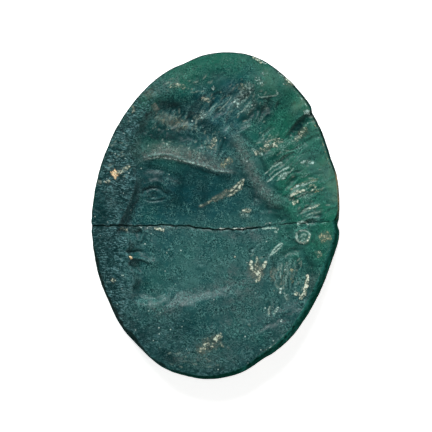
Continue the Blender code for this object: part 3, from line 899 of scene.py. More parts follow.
def filmMask(u, v):
    # grey film that is mostly painted sheen: on the lit band over the hair's lower edge, along the band of
    # the fillet and on the jaw's edge; grey also in patches, towards the bottom and at the left
    hair = ramp(v + 0.6 * np.minimum(u, 0.0), 3.4, 5.4) * ramp(u, 3.8, 1.8)
    mask = patched(u, v, "filmAndSheen") + 0.04 * hair + 0.10 * layeredNoise(u, v, 1.2, 67)
    over, window = overCrest(u, v)
    band = 0.80 * ramp(over, -0.02, 0.10) * bell(over, 0.0, 0.72) + 0.75 * bell(over, 0.10, 0.16)
    mask = mask + window * band
    mask = mask + groove(u, v, [(0.9, 7.0), (2.0, 5.1), (2.9, 3.2), (3.8, 1.7), (5.2, 0.9)], 0.62, 0.62)
    jaw = faceLine([(-0.02, 0.0), (-0.16, -0.005), (-0.27, 0.065), (-0.40, 0.10)])
    mask = mask + groove(u, v, jaw, 0.42, 0.50, ends=3.0) + 0.14 * ramp(v, -5.0, -8.0)
    mask = mask + 0.12 * ramp(u, -5.2, -7.2) * (0.6 + layeredNoise(u, v, 0.7, 69))
    return uneven(u, v, mask, 0.90, 0.7, 0.35, 73)


def headEdge(u, v):
    # how far inside the head, and a painted highlight line along the front of it
    inward = insideDepth(u, v, headOutline())
    front = ramp(u, -4.0, -5.0) * ramp(v, 5.5, 4.0) * ramp(v, -8.0, -7.0)
    line = front * bell(inward, 0.12, 0.12) * (inward > 0.0)
    return smoothStep(inward / 0.5), line


def crackLip(x, y):
    # a grey band under the crack at the left
    below = crackHeight(x, stone["rimHeight"]) - y
    window = ramp(x, -8.0, -6.5) * ramp(x, -2.4, -4.4)
    thin = 0.45 * ramp(x, -4.0, -3.0) * ramp(x, 1.0, 0.0) * bell(below, 0.16, 0.08)
    return window * ramp(below, 0.03, 0.08) * np.exp(-np.maximum(below, 0.0) / 0.38) + thin


def crackGlint(x, y):
    # painted glints on the chipped edge above the crack, then a glinting dash that stands off it
    above = y - crackHeight(x, stone["rimHeight"])
    window = ramp(x, 0.05, 0.45) * ramp(x, 3.2, 2.9)
    broken = limited(0.95 + 0.8 * layeredNoise(x, 0.0 * y, 0.5, 101), 1.25)
    line = window * broken * bell(above, 0.11, 0.055)
    dash = ramp(x, 3.7, 3.9) * ramp(x, 4.5, 4.2) * bell(above, 0.16, 0.05)
    return line + 0.95 * dash


# strength, half width in mm, and the smooth path of each streak in the head's frame
residues = {
    "cream": [
        (0.9, 0.12, (-7.95, 3.3), (-7.65, 3.5)), (0.75, 0.16, (-7.7, 3.3), (-7.3, 3.65), (-6.8, 3.95)),
        (0.7, 0.16, (-8.75, 2.6), (-8.4, 2.8)), (0.75, 0.18, (-8.3, -5.2), (-8.0, -4.95)),
        (0.5, 0.09, (-1.0, 0.9), (0.0, 1.45), (1.0, 2.05)), (0.8, 0.08, (-1.35, 0.7), (-1.1, 0.85)),
        (0.85, 0.08, (0.8, 1.5), (1.6, 2.0), (2.2, 2.9)), (0.8, 0.09, (1.0, 1.85), (1.6, 2.4), (2.2, 2.95)),
        (0.8, 0.08, (1.15, 1.6), (1.9, 2.2), (2.05, 2.6)),
        (0.95, 0.13, (2.0, 0.25), (2.35, 0.42), (2.75, 0.4)), (0.7, 0.2, (2.9, 4.9), (3.5, 5.15), (4.2, 5.6)),
        (0.57, 0.16, (3.9, 5.2), (4.6, 5.75), (5.3, 5.95)), (0.62, 0.09, (3.6, 5.6), (4.3, 6.0), (5.0, 6.1)),
        (0.95, 0.11, (4.4, 5.55), (4.8, 5.5)), (0.7, 0.18, (6.2, 5.9), (6.7, 6.5), (7.0, 7.0)),
        (1.0, 0.11, (5.75, 1.5), (6.3, 1.8), (7.0, 2.1)),
        (0.7, 0.09, (7.2, 1.8), (7.8, 2.2), (7.5, 2.45), (7.15, 2.2)), (0.9, 0.13, (5.95, 0.95), (6.5, 1.15)),
        (0.75, 0.08, (6.9, 0.4), (7.6, 0.65), (8.2, 0.95)),
        (0.9, 0.12, (-4.9, -1.0), (-4.5, -1.05), (-4.15, -1.15)), (0.7, 0.1, (-7.6, -0.95), (-7.0, -1.15)),
        (0.75, 0.09, (6.5, -2.05), (6.95, -2.15), (7.3, -1.8), (7.25, -1.4)),
        (0.97, 0.17, (2.7, -3.5), (2.8, -4.1), (3.15, -4.45), (3.35, -4.9), (3.05, -5.3)),
        (0.75, 0.13, (3.15, -3.2), (3.2, -3.8), (3.05, -4.2)),
        (0.95, 0.13, (3.85, -3.55), (3.7, -4.05), (3.25, -4.25)),
        (0.97, 0.14, (7.15, -4.6), (7.15, -5.2), (7.0, -5.7), (6.95, -6.15), (6.5, -6.6)),
        (0.75, 0.14, (6.1, -6.1), (6.6, -6.25)), (0.55, 0.14, (8.3, -1.8), (8.6, -1.6), (8.8, -1.6)),
        (0.55, 0.25, (7.8, -3.1), (8.3, -2.9)), (0.65, 0.08, (4.1, -7.75), (4.25, -7.1)),
        (0.8, 0.1, (2.5, -8.65), (2.65, -8.55)), (0.95, 0.2, (0.45, -9.35), (0.1, -9.6), (-0.2, -9.9)),
        (0.8, 0.16, (-0.25, -10.0), (-0.35, -10.4)),
        (0.72, 0.18, (-0.5, -10.05), (-0.9, -10.3), (-1.5, -10.85)), (0.45, 0.3, (-1.2, -9.9), (-0.6, -9.7)),
        (0.62, 0.12, (0.2, -10.0), (0.6, -10.35)), (0.8, 0.15, (2.8, 12.6), (3.6, 12.1)),
        (0.75, 0.18, (5.5, 11.0), (6.1, 10.3)), (0.8, 0.14, (-6.7, 8.25), (-6.4, 8.35)),
        (0.6, 0.2, (-3.8, 10.2), (-3.0, 10.25), (-2.4, 10.1)), (0.65, 0.2, (-1.2, 9.35), (-0.5, 9.0)),
        (0.42, 0.32, (-4.4, 7.8), (-2.2, 7.15)), (0.72, 0.2, (-0.6, 5.3), (0.0, 6.2)),
        (0.8, 0.08, (1.35, -3.3), (1.5, -3.2)), (0.45, 0.35, (1.9, 9.9), (2.2, 10.4)),
    ],
    "ochre": [
        (1.2, 0.3, (-8.2, 3.15), (-7.8, 3.5)), (1.15, 0.16, (-6.85, -3.35), (-6.7, -3.25)),
        (0.3, 0.3, (8.2, -1.9), (8.6, -1.55), (8.9, -1.6)),
    ],
    "sand": [
        (0.6, 0.3, (6.5, 6.3), (7.2, 6.9)), (0.6, 0.09, (5.7, 2.0), (6.8, 2.6), (8.1, 2.95)),
        (0.6, 0.1, (7.6, 1.9), (8.3, 2.1)), (0.5, 0.14, (7.4, 0.1), (8.0, 0.3), (8.4, 0.5)),
        (0.9, 0.12, (5.85, -4.4), (6.0, -4.2)), (0.45, 0.12, (5.95, -4.6), (5.95, -5.4)),
        (0.75, 0.36, (8.1, -1.9), (8.5, -1.7), (8.95, -1.5)), (0.6, 0.14, (4.6, 11.65), (4.9, 11.5)),
        (0.7, 0.14, (-6.7, 8.5), (-6.5, 8.65)), (0.7, 0.25, (0.3, 3.85), (1.2, 4.5)),
        (0.9, 0.09, (2.0, 10.1), (2.12, 10.15)), (0.5, 0.22, (5.3, 10.6), (5.9, 10.3)),
    ],
    "umber": [
        (0.8, 0.2, (-9.45, 2.5), (-9.2, 2.8)), (0.75, 0.12, (-1.45, 0.65), (-0.9, 0.9), (-0.3, 1.3)),
        (0.85, 0.24, (-0.35, 1.2), (0.3, 1.55), (1.0, 1.95)), (0.7, 0.26, (0.9, 1.7), (1.9, 2.5)),
        (0.6, 0.4, (3.0, -3.7), (3.4, -4.2)), (0.8, 0.5, (2.9, -3.8), (3.3, -4.9)),
        (0.7, 0.16, (4.5, -4.0), (4.4, -4.6), (4.45, -5.2)), (0.6, 0.14, (5.2, -4.7), (5.2, -5.5)),
        (0.25, 0.3, (7.3, -5.0), (7.8, -6.0)), (0.6, 0.5, (-1.5, -10.7), (-0.4, -10.1), (0.3, -9.6)),
        (0.9, 0.28, (-5.05, 8.4), (-4.65, 8.7)), (0.56, 0.36, (-4.7, 7.8), (-3.4, 7.45), (-2.2, 7.0)),
        (0.5, 0.35, (-5.6, 9.4), (-4.9, 9.9)),
    ],
    "speck": [
        (0.7, 0.14, (-7.45, -4.75), (-7.3, -4.65)), (0.5, 0.3, (1.8, 0.1), (2.6, 0.2)),
        (0.8, 0.13, (2.7, 5.3), (3.3, 5.0), (3.6, 4.7)), (0.9, 0.1, (3.5, 4.8), (3.65, 4.9)),
        (0.35, 0.1, (3.4, 5.6), (4.1, 6.1), (5.0, 6.45)), (0.7, 0.14, (6.6, 4.1), (7.1, 4.3), (7.7, 4.1)),
        (0.7, 0.22, (5.0, 2.95), (5.6, 3.4)), (0.8, 0.08, (6.0, 2.15), (7.0, 2.6)),
        (0.7, 0.1, (4.5, -0.85), (4.9, -1.1)), (0.8, 0.09, (6.3, -0.6), (6.8, -0.5), (7.2, -0.65)),
        (0.75, 0.07, (6.9, -1.15), (6.5, -1.25), (6.3, -1.65), (6.5, -2.0)),
        (0.6, 0.1, (5.6, -3.6), (5.45, -4.0), (5.3, -4.6)), (1.0, 0.09, (5.05, -5.7), (5.0, -6.15)),
        (0.6, 0.12, (5.55, -6.2), (5.6, -6.7)), (0.7, 0.08, (4.55, -7.75), (4.9, -7.2)),
        (0.7, 0.12, (0.8, -10.4), (1.0, -10.35)), (0.95, 0.17, (6.8, 8.12), (7.1, 8.2), (7.4, 8.16)),
        (0.4, 0.4, (1.2, 6.6), (2.1, 5.0), (3.0, 3.1), (3.9, 1.7), (5.2, 0.9)),
        (0.9, 0.11, (-0.35, 10.0), (-0.2, 10.1)), (0.62, 0.35, (-1.4, 8.1), (-0.9, 7.7)),
        (0.9, 0.08, (-3.8, -2.7), (-3.7, -2.6)), (0.9, 0.08, (-4.0, -2.95), (-3.9, -2.85)),
        (0.8, 0.08, (-2.9, -2.75), (-2.8, -2.7)),
        (0.66, 0.42, (1.3, 8.6), (1.9, 9.3), (2.4, 9.9), (2.7, 10.6)),
        (0.45, 0.3, (2.2, 8.0), (2.7, 8.6), (3.1, 9.2)), (0.5, 0.3, (3.0, 10.9), (3.6, 10.4)),
        (0.9, 0.13, (3.2, 12.45), (3.6, 12.25), (4.0, 12.0)),
        (0.6, 0.25, (4.9, 11.4), (5.4, 11.1), (5.8, 10.7)), (0.42, 0.28, (3.5, 11.4), (4.0, 11.1)),
        (0.5, 0.22, (3.4, 10.7), (3.9, 10.3)),
    ],
    # light lines along the locks, with painted highlights on the ring curl and painted glints beside the
    # crack
    "line": [
        (0.8, 0.045, (3.8, 3.3), (4.5, 3.85), (5.2, 4.3)), (1.0, 0.05, (3.95, 2.65), (4.7, 3.25), (5.7, 3.9)),
        (0.45, 0.045, (4.1, 3.2), (4.9, 3.75)), (0.75, 0.045, (4.7, 2.75), (5.2, 3.2), (5.7, 3.55)),
        (0.6, 0.045, (5.1, 2.9), (5.6, 3.3), (6.1, 3.75)), (0.8, 0.05, (5.7, 2.0), (6.8, 2.45), (7.9, 2.8)),
        (0.7, 0.045, (6.3, 1.45), (7.2, 1.95)), (0.75, 0.05, (6.75, 0.4), (7.4, 0.65), (8.0, 0.85)),
        (0.55, 0.045, (7.0, -0.05), (7.6, 0.2), (8.2, 0.35)),
        (0.65, 0.05, (1.6, 7.9), (2.3, 8.5), (2.6, 9.1)), (0.6, 0.045, (0.2, 8.3), (0.9, 9.0), (1.2, 9.5)),
        (0.5, 0.045, (-0.6, 8.2), (0.0, 8.9)),
        (0.8, 0.05, (3.3, 9.35), (3.9, 9.38), (4.55, 9.5), (4.8, 9.72), (4.65, 9.9)),
        (1.2, 0.055, (6.35, -1.3), (6.25, -1.7), (6.5, -2.1), (6.95, -2.15)),
        (1.3, 0.055, (6.8, -1.15), (7.25, -1.35), (7.35, -1.75)),
        (0.85, 0.06, (6.3, -0.75), (6.8, -0.5), (7.3, -0.68)),
        (0.75, 0.06, (6.55, -1.75), (6.8, -1.45), (7.05, -1.6)), (0.6, 0.07, (6.65, -1.95), (6.95, -1.8)),
        (0.65, 0.045, (5.15, -3.7), (5.0, -4.5), (5.1, -5.0)),
        (0.35, 0.045, (5.5, -3.6), (5.6, -4.4), (5.4, -5.4)),
        (0.35, 0.045, (4.6, -4.2), (4.5, -4.8), (4.65, -5.3)),
        (0.22, 0.045, (6.1, -3.4), (6.2, -4.3), (6.0, -5.0)),
        (0.25, 0.05, (5.4, -3.3), (5.9, -2.95), (6.4, -3.15)), (0.55, 0.05, (5.3, -6.0), (5.5, -6.6)),
        (0.75, 0.05, (4.05, -7.8), (4.2, -7.1)), (0.65, 0.05, (4.5, -7.8), (4.8, -7.2)),
        (0.9, 0.08, (-5.42, 5.6), (-5.38, 5.6)), (0.85, 0.07, (-4.0, 5.7), (-3.9, 5.72)),
        (0.8, 0.08, (-2.25, 5.3), (-2.15, 5.28)), (0.9, 0.07, (-1.45, 4.6), (-1.35, 4.58)),
        (0.75, 0.06, (-4.92, 5.05), (-4.85, 5.05)), (0.6, 0.06, (-3.2, 5.3), (-3.1, 5.3)),
        (0.6, 0.05, (-1.8, 5.2), (-1.7, 5.2)), (0.6, 0.06, (-4.35, 6.0), (-4.25, 6.0)),
        (1.5, 0.045, (3.55, -1.02), (4.1, -0.93), (4.7, -0.98)), (1.1, 0.07, (4.6, -1.18), (4.75, -1.35)),
        (1.5, 0.05, (4.2, -3.15), (4.6, -2.62), (5.0, -2.2), (5.2, -2.22)),
        (1.4, 0.045, (4.3, -3.12), (4.75, -2.72), (5.18, -2.3)),
    ],
}


# zone of the hair, half sizes, way it runs in degrees, and how many strokes
fleckZones = [
    ((1.2, 9.0), (2.6, 1.7), 44, 44), ((-3.3, 7.35), (1.8, 0.7), 66, 48), ((-0.4, 5.8), (0.7, 0.8), 75, 14),
    ((4.6, 5.6), (1.5, 0.9), 38, 20), ((6.4, 2.6), (1.9, 1.5), 30, 22), ((7.4, 0.3), (1.2, 0.8), 24, 12),
    ((5.5, -4.7), (1.2, 1.3), 82, 22), ((-2.6, 10.2), (1.6, 0.6), 20, 14), ((3.1, -4.2), (0.6, 1.0), 75, 10),
    ((-2.8, 5.4), (2.6, 0.45), -10, 26), ((-7.9, 5.6), (0.9, 2.6), 25, 26),
    ((-2.4, -11.2), (2.4, 0.8), 5, 18),
]


def flecks(u, v):
    # short strokes where pale dust lies in the finest cuts
    mask = np.zeros(np.shape(u))
    for zone, (middle, sizes, flow, count) in enumerate(fleckZones):
        for index in range(count):
            seeds = [12.9898 * index + 78.233 * draw + 37.719 * zone for draw in range(5)]
            aside, up, swing, reach, bow = [(math.sin(seed) * 43758.5453) % 1.0 for seed in seeds]
            startU = middle[0] + sizes[0] * (2.0 * aside - 1.0)
            startV = middle[1] + sizes[1] * (2.0 * up - 1.0)
            bearing = math.radians(flow + 70.0 * (swing - 0.5))
            long = 0.10 + 0.34 * reach
            stepU, stepV = long * math.cos(bearing), long * math.sin(bearing)
            bent = 0.3 * (bow - 0.5)
            halfway = (startU + 0.5 * stepU + 0.25 * bent, startV + 0.5 * stepV)
            points = [(startU, startV), halfway, (startU + stepU, startV + stepV)]
            mask = np.maximum(mask, (0.45 + 0.55 * bow) * groove(u, v, points, 0.05, 1.0))
    return mask


def residueMasks(u, v):
    wu = u + 0.05 * layeredNoise(u, v, 0.35, 93)
    wv = v + 0.05 * layeredNoise(u, v, 0.35, 95)
    masks = {}
    for kind, streaks in residues.items():
        masks[kind] = np.zeros(np.shape(u))
        for strength, width, *points in streaks:
            streak = strength * smoothStep(1.6 * groove(wu, wv, points, width, 1.0, ends=12.0))
            masks[kind] = np.maximum(masks[kind], streak)
    return masks


def polar(x, y):
    # the angle round the stone, and how far in from its widest line
    fromMiddleX, fromMiddleY = x + stone["middle"][0], y + stone["middle"][1]
    angle = np.arctan2(fromMiddleY, fromMiddleX)
    return angle, outlineRadius(angle) - np.hypot(fromMiddleX, fromMiddleY)


def glassMasks(x, y, u, v):
    # the shades of the glass with its painted shade, sheen and highlights, and how worn it is
    lip, hair, backward = crackLip(x, y), strands(u, v), ramp(u, 2.0, 3.5)
    inside, beside = headEdge(u, v)
    dark, olive = darkMask(u, v), oliveMask(u, v)
    # the painted highlight along the profile goes into the film
    filmAndSheen = np.maximum(filmMask(u, v) * (1.0 - 0.8 * dark) + 0.25 * beside, 0.9 * lip)
    corroded = corrosion(u, v) * (1.0 - 0.65 * inside) * (1.0 - 0.6 * filmAndSheen) * (1.0 - 0.7 * olive)
    return {
        "emerald": emeraldMask(u, v),
        "olive": olive,
        "ash": ashMask(u, v),
        "blue": blueMask(u, v),
        "bloomAndSheen": bloomMask(u, v),
        # painted shade in the hair's fine furrows, painted sheen and painted highlights on its ridges
        "dark": limited(dark * (1.0 - 0.7 * lip) - (0.75 - 0.30 * backward) * hair),
        "filmAndSheen": limited(filmAndSheen + 0.22 * hair),
        "corroded": corroded * (1.0 - limited(patched(u, v, "worn"))),
        "strand": limited(hair) * (0.50 + 0.45 * backward),
    }


def edgeMasks(x, y, z):
    # the wall, painted shade in the crack's opening, on the dark line round the face and low on the spreading
    # wall, and the stains at the wall's foot and on its edge
    angle, margin = polar(x, y)
    rimward, spread, height = limited(margin, 1.5), flare(angle), z / stone["rimHeight"]
    upperRight = ramp(angle, 0.25, 0.45) * ramp(angle, 1.40, 1.15)
    lowerLeft = ramp(angle, -1.35, -1.65) * ramp(angle, -2.9, -2.6)
    lineWidth = 0.20 + 0.11 * upperRight + 0.24 * lowerLeft * (0.8 + 0.6 * layeredNoise(x, y, 1.1, 47))
    # painted shade: a dark line round the face's edge
    edgeLine = smoothStep((lineWidth - rimward) / 0.08)
    tan = uneven(x, y, ramp(angle, 0.02, 0.12) * ramp(angle, 0.50, 0.40), 0.8, 0.5, 0.7, 49)
    tan = tan * ramp(rimward, 0.31, 0.21) * ramp(height, 0.86, 0.98)
    foot = ramp(1.0 - margin / spread, 0.90, 0.96) * ramp(height, 0.30, 0.15) * ramp(height, 0.02, 0.08)
    foot = foot * ramp(angle, 0.1, -0.1) * ramp(np.abs(np.degrees(angle) + 8.0), 75.0, 57.811)
    # painted shade in the crack's opening
    opening = ramp(crackDistance(x, y), 0.085, 0.035) * crackOpen(x) ** 1.5
    wide = ramp(spread, 0.18, 0.43) * ramp(rimward, 1.4, 0.8)
    return {
        "rimward": rimward,
        "wall": 0.55 * ramp(margin - spread - 0.10 * layeredNoise(x, y, 0.5, 43), 0.10, -0.20),
        # painted shade low on the spreading wall
        "outer": wide * ramp(rimward, 0.12, 0.04),
        "side": 1.0 - wide,
        "stain": np.maximum(0.6 * foot, 0.9 * tan),
        "gap": np.maximum(opening, 0.9 * edgeLine * (1.0 - 0.75 * tan)),
    }


def rimDirt(x, y):
    # beads of sand and pale specks just inside the rim
    angle, margin = polar(x, y)
    degrees = np.degrees(angle)
    chipped = ramp(degrees, 22.0, 37.0) * ramp(degrees, 78.0, 63.0)
    beads = bell(margin, 0.38, 0.08) * (0.62 + 0.45 * layeredNoise(x, y, 0.8, 45))
    lowBeads = bell(margin, 0.66, 0.10) * (0.45 + 0.55 * layeredNoise(x, y, 0.35, 53))
    below = ramp(angle, 0.98, 0.90)
    lowRight = ramp(angle, -1.25, -1.05) * ramp(angle, -0.05, -0.25)
    sand = chipped * below * limited(beads, 0.85)
    speck = chipped * (1.0 - below) * limited(beads, 0.95)
    return sand, np.maximum(speck, lowRight * limited(lowBeads, 0.8))


def dirtMasks(x, y, u, v):
    # dirt in the carving, along the rim and on the band over the brow, a painted highlight along the hair's
    # lower edge, and painted glints on the crack
    masks = residueMasks(u, v)
    rimSand, rimSpeck = rimDirt(x, y)
    over, window = overCrest(u, v)
    # painted highlight along the hair's lower edge
    edge = (0.95 + 0.3 * layeredNoise(u, v, 0.6, 97)) * bell(over, 0.08, 0.08)
    edge = edge * (1.0 - 0.35 * ramp(u, -1.6, 0.0))
    band = 0.36 * ramp(over, 0.0, 0.2) * ramp(over, 1.7, 1.0)
    masks["sand"] = np.maximum(masks["sand"], rimSand)
    for speck in (rimSpeck, window * edge, window * band):
        masks["speck"] = np.maximum(masks["speck"], speck)
    masks["fleck"], masks["glint"] = flecks(u, v), crackGlint(x, y)
    return masks


def paintMasks(piece):
    # masks that the glass reads, one value for each vertex
    x, y, z = (vertexPoints(piece) / mm).T
    u, v = turned(x, y, -stone["headTilt"])
    masks = {**glassMasks(x, y, u, v), **edgeMasks(x, y, z), **dirtMasks(x, y, u, v)}
    # painted shade in the small hollows and painted light on the small ridges, by how far each place is sunk
    sunk = cavity(x, y) / glass["cavityDepth"]
    masks["groove"], masks["ridge"] = limited(sunk), limited(-sunk)
    for name, mask in masks.items():
        layer = piece.data.attributes.new(name, "FLOAT", "POINT")
        layer.data.foreach_set("value", mask.astype(np.float32))


class NodeBench:
    # short way to add and join shader nodes
    def __init__(self, name):
        self.material = bpy.data.materials.new(name)
        self.material.use_nodes = True
        self.tree = self.material.node_tree
        self.shader = self.tree.nodes["Principled BSDF"]

    def add(self, kind, settings=None, **inputs):
        node = self.tree.nodes.new(kind)
        for key, value in (settings or {}).items():
            setattr(node, key, value)
        for key, value in inputs.items():
            self.feed(node, key.replace("_", " "), value)
        return node

    def feed(self, node, socket, value):
        socket = node.inputs[int(socket) if socket.isdigit() else socket]
        if isinstance(value, bpy.types.NodeSocket):
            self.tree.links.new(value, socket)
        else:
            socket.default_value = value

    def mask(self, name):
        return self.add("ShaderNodeAttribute", {"attribute_name": name}).outputs["Fac"]

    def mix(self, share, first, second):
        node = self.add("ShaderNodeMix", {"data_type": "RGBA"})
        self.feed(node, "0", share)
        self.feed(node, "6", first)
        self.feed(node, "7", second)
        return node.outputs[2]

    def noise(self, scale, detail=3.0, rough=0.55, swirl=0.0, stretch=None):
        place = self.place
        if stretch:
            place = self.add("ShaderNodeMapping", None, Vector=place, Scale=stretch).outputs[0]
        node = self.add("ShaderNodeTexNoise", None, Vector=place, Scale=scale, Detail=detail, Roughness=rough,
                        Distortion=swirl)
        return node.outputs["Fac"]

    def remap(self, value, low, high, newLow=0.0, newHigh=1.0):
        node = self.add("ShaderNodeMapRange")
        for index, item in enumerate((value, low, high, newLow, newHigh)):
            self.feed(node, str(index), item)
        return node.outputs[0]

    def combine(self, operation, first, second):
        node = self.add("ShaderNodeMath", {"operation": operation})
        self.feed(node, "0", first)
        self.feed(node, "1", second)
        return node.outputs[0]

    def times(self, first, *others):
        for other in others:
            first = self.combine("MULTIPLY", first, other)
        return first

    def coat(self, share, tint):
        # lays one of the glass's tints, or a mixed one, over the colour so far
        self.colour = self.mix(share, self.colour, glass[tint] if isinstance(tint, str) else tint)

    def spots(self, scale, radius, share):
        # round spots, one in each kept cell
        cells = self.add("ShaderNodeTexVoronoi", None, Vector=self.place, Scale=scale)
        dice = self.add("ShaderNodeSeparateColor", None, Color=cells.outputs["Color"])
        reach = self.remap(dice.outputs[1], 0.0, 1.0, 0.4 * radius * scale, radius * scale)
        ratio = self.combine("DIVIDE", cells.outputs["Distance"], reach)
        kept = self.combine("LESS_THAN", dice.outputs[0], share)
        return self.times(self.remap(ratio, 0.5, 1.1, 1.0, 0.0), kept)


def finishShader(bench, roughness, sheen, height):
    shader = bench.shader
    bench.feed(shader, "Base Color", bench.colour)
    bench.feed(shader, "Roughness", roughness)
    for socket, value in sheen.items():
        shader.inputs[socket].default_value = value
    bump = bench.add("ShaderNodeBump", None, Strength=1.0, Distance=glass["grainDepth"] * mm, Height=height)
    bench.feed(shader, "Normal", bump.outputs[0])
    return bench.material


def startBench(name):
    bench = NodeBench(name)
    coordinates = bench.add("ShaderNodeTexCoord").outputs["Object"]
    bench.place = bench.add("ShaderNodeMapping", None, Vector=coordinates, Scale=(1 / mm,) * 3).outputs[0]
    return bench


def startNoise(bench):
    return bench.noise(3.0, 5.0, 0.68, 1.3), bench.noise(9.5, 3.0, 0.72, 0.6)


def shadeFace(bench, grain, fine):
    # the glass itself: its shades, its haze, and how light and dark its grain is, with painted light, painted
    # sheen and painted shade among them
    mask, times, remap, coat = bench.mask, bench.times, bench.remap, bench.coat
    mottle = bench.noise(0.9, 5.0, 0.62, 0.4)
    bench.colour = bench.mix(mask("blue"), glass["deep"], glass["blue"])
    # painted light shining through the thinner glass
    coat(mask("emerald"), "emerald")
    coat(times(mask("olive"), 0.85), "olive")
    # grey haze, partly painted sheen
    coat(times(mask("bloomAndSheen"), remap(mottle, 0.35, 0.65, 0.3, 1.3)), "bloomAndSheen")
    # painted shade from the dark mask
    coat(times(mask("dark"), remap(mottle, 0.3, 0.7, 1.1, 0.5)), "dark")
    # grey film, mostly painted sheen
    coat(times(mask("filmAndSheen"), remap(grain, 0.32, 0.66, 0.2, 1.7), remap(fine, 0.40, 0.58, 0.30, 1.45)), "filmAndSheen")
    # grey band over the brow as painted sheen, and grey patches
    coat(times(mask("ash"), remap(fine, 0.42, 0.58, 0.0, 1.15)), "ash")
    coat(remap(grain, 0.46, 0.30, 0.0, 0.75), "dark")
    patchy = remap(bench.noise(1.3, 3.0, 0.6, 0.8), 0.40, 0.60, 0.05, 1.35)
    patchy = times(patchy, remap(mask("emerald"), 0.2, 1.0, 1.0, 0.65))
    patchy = times(patchy, remap(mask("olive"), 0.0, 1.0, 1.0, 0.45))
    coat(times(patchy, remap(fine, 0.50, 0.36)), "dark")
    clear = remap(mask("dark"), 0.0, 0.8, 1.0, 0.25)
    pale = bench.mix(mask("emerald"), glass["pale"], glass["paleGreen"])
    coat(times(clear, remap(fine, 0.51, 0.63, 0.0, 1.25), patchy), pale)
    # painted shade in the small hollows
    coat(times(mask("groove"), 0.45), "dark")
    # painted light on the small ridges
    coat(times(mask("ridge"), remap(fine, 0.42, 0.60, 0.05, 0.75), clear), pale)


def weatherFace(bench, grain, fine):
    # corrosion, pale specks that are partly painted glints, painted highlights on the hair's ridges, the
    # painted shade of the dark edge lines, and the stain
    mask, times, remap, coat = bench.mask, bench.times, bench.remap, bench.coat
    corroded = mask("corroded")
    ripple = bench.noise(5.0, 4.0, 0.70, 1.5, stretch=(0.5, 1.3, 1.0))
    coat(times(corroded, remap(grain, 0.52, 0.40, 0.0, 0.95)), "dark")
    coat(times(corroded, remap(ripple, 0.50, 0.41)), "dark")
    coat(times(corroded, remap(ripple, 0.535, 0.61, 0.0, 0.92)), "frost")
    # painted highlights on the hair's fine ridges
    coat(times(mask("strand"), remap(fine, 0.50, 0.62, 0.0, 0.65)), "speck")
    # pale specks, partly painted glints
    grainy = bench.combine("MAXIMUM", corroded, times(mask("filmAndSheen"), 0.9))
    coat(times(bench.spots(2.2, 0.080, remap(grainy, 0.0, 1.0, 0.10, 0.60)), 0.8), "paleSpeck")
    coat(mask("wall"), "wallTint")
    # painted shade in the crack's opening and along the face's edge
    coat(mask("gap"), "wallShade")
    coat(times(mask("stain"), remap(grain, 0.62, 0.40, 0.2, 0.9)), "stain")


def soilFace(bench, fine):
    # pale dust in the fine cuts, light lines that are partly painted highlights, then crumbly dirt with a
    # paler heart, and painted glints
    coat, times, remap = bench.coat, bench.times, bench.remap
    coat(times(bench.mask("fleck"), remap(fine, 0.38, 0.56, 0.35, 1.0)), "fleck")
    # light lines, partly painted highlights
    coat(times(bench.mask("line"), remap(fine, 0.40, 0.56, 0.12, 1.0)), "line")
    crumbs = remap(bench.noise(5.0, 6.0, 0.80, 0.4), 0.40, 0.60)
    # the glint layer is painted glints on the crack's edge
    for layer in ("umber", "sand", "speck", "ochre", "cream", "glint"):
        coat(times(bench.mask(layer), 0.40), "umber")
        cover = bench.combine("ADD", bench.mask(layer), crumbs)
        tone = bench.mix(remap(cover, 1.40, 1.66), glass[layer], glass["pale" + layer.capitalize()])
        coat(remap(cover, 1.28, 1.42, 0.0, 0.95), tone)


def faceMaterial(name):
    bench = startBench(name)
    grain, fine = startNoise(bench)
    shadeFace(bench, grain, fine)
    weatherFace(bench, grain, fine)
    soilFace(bench, fine)
    corroded = bench.mask("corroded")
    roughness = bench.remap(bench.times(corroded, grain), 0.0, 0.5, *glass["roughness"])
    pits = bench.spots(2.6, 0.08, bench.remap(corroded, 0.0, 1.0, 0.15, 0.7))
    height = bench.times(grain, bench.remap(corroded, 0.0, 1.0, 0.6, 1.4))
    height = bench.combine("ADD", height, bench.times(fine, 0.45))
    height = bench.combine("SUBTRACT", height, bench.times(pits, 0.6))
    return finishShader(bench, roughness, glass["sheen"], height)


def wallMaterial(name):
    bench = startBench(name)
    mask, times, remap, coat = bench.mask, bench.times, bench.remap, bench.coat
    grain = bench.noise(3.0, 4.0, 0.65, 0.5)
    patchy = bench.noise(0.8, 5.0, 0.65, 0.4)
    fine = remap(bench.noise(9.5, 3.0, 0.72, 0.6), 0.53, 0.63, 0.0, 0.6)
    crumbly = bench.noise(1.6, 6.0, 0.75, 0.5, stretch=(1.0, 1.0, 1.8))
    rimward = bench.combine("ADD", mask("rimward"), remap(grain, 0.3, 0.7, -0.15, 0.15))
    # painted shade: darker towards the wall's foot, with a lighter tint on the upright sides
    bench.colour = bench.mix(remap(rimward, 0.40, 0.72), glass["wall"], glass["wallTint"])
    coat(times(fine, remap(rimward, 0.35, 0.75)), "pale")
    coat(remap(patchy, 0.50, 0.66, 0.0, 0.6), "wallTint")
    coat(remap(grain, 0.45, 0.32, 0.0, 0.7), "wallShade")
    coat(times(mask("side"), remap(patchy, 0.35, 0.60, 0.35, 0.95)), "side")
    coat(times(mask("side"), remap(grain, 0.47, 0.36, 0.0, 0.8)), "dark")
    # painted shade, near black low on the spreading wall
    coat(times(mask("outer"), 0.9), "wallShade")
    coat(times(bench.spots(2.2, 0.060, 0.12), 0.4), "paleSpeck")
    coat(times(mask("stain"), remap(crumbly, 0.46, 0.58, 0.05, 0.95)), "stain")
    return finishShader(bench, remap(grain, 0.3, 0.7, 0.45, 0.75), glass["wallSheen"], grain)


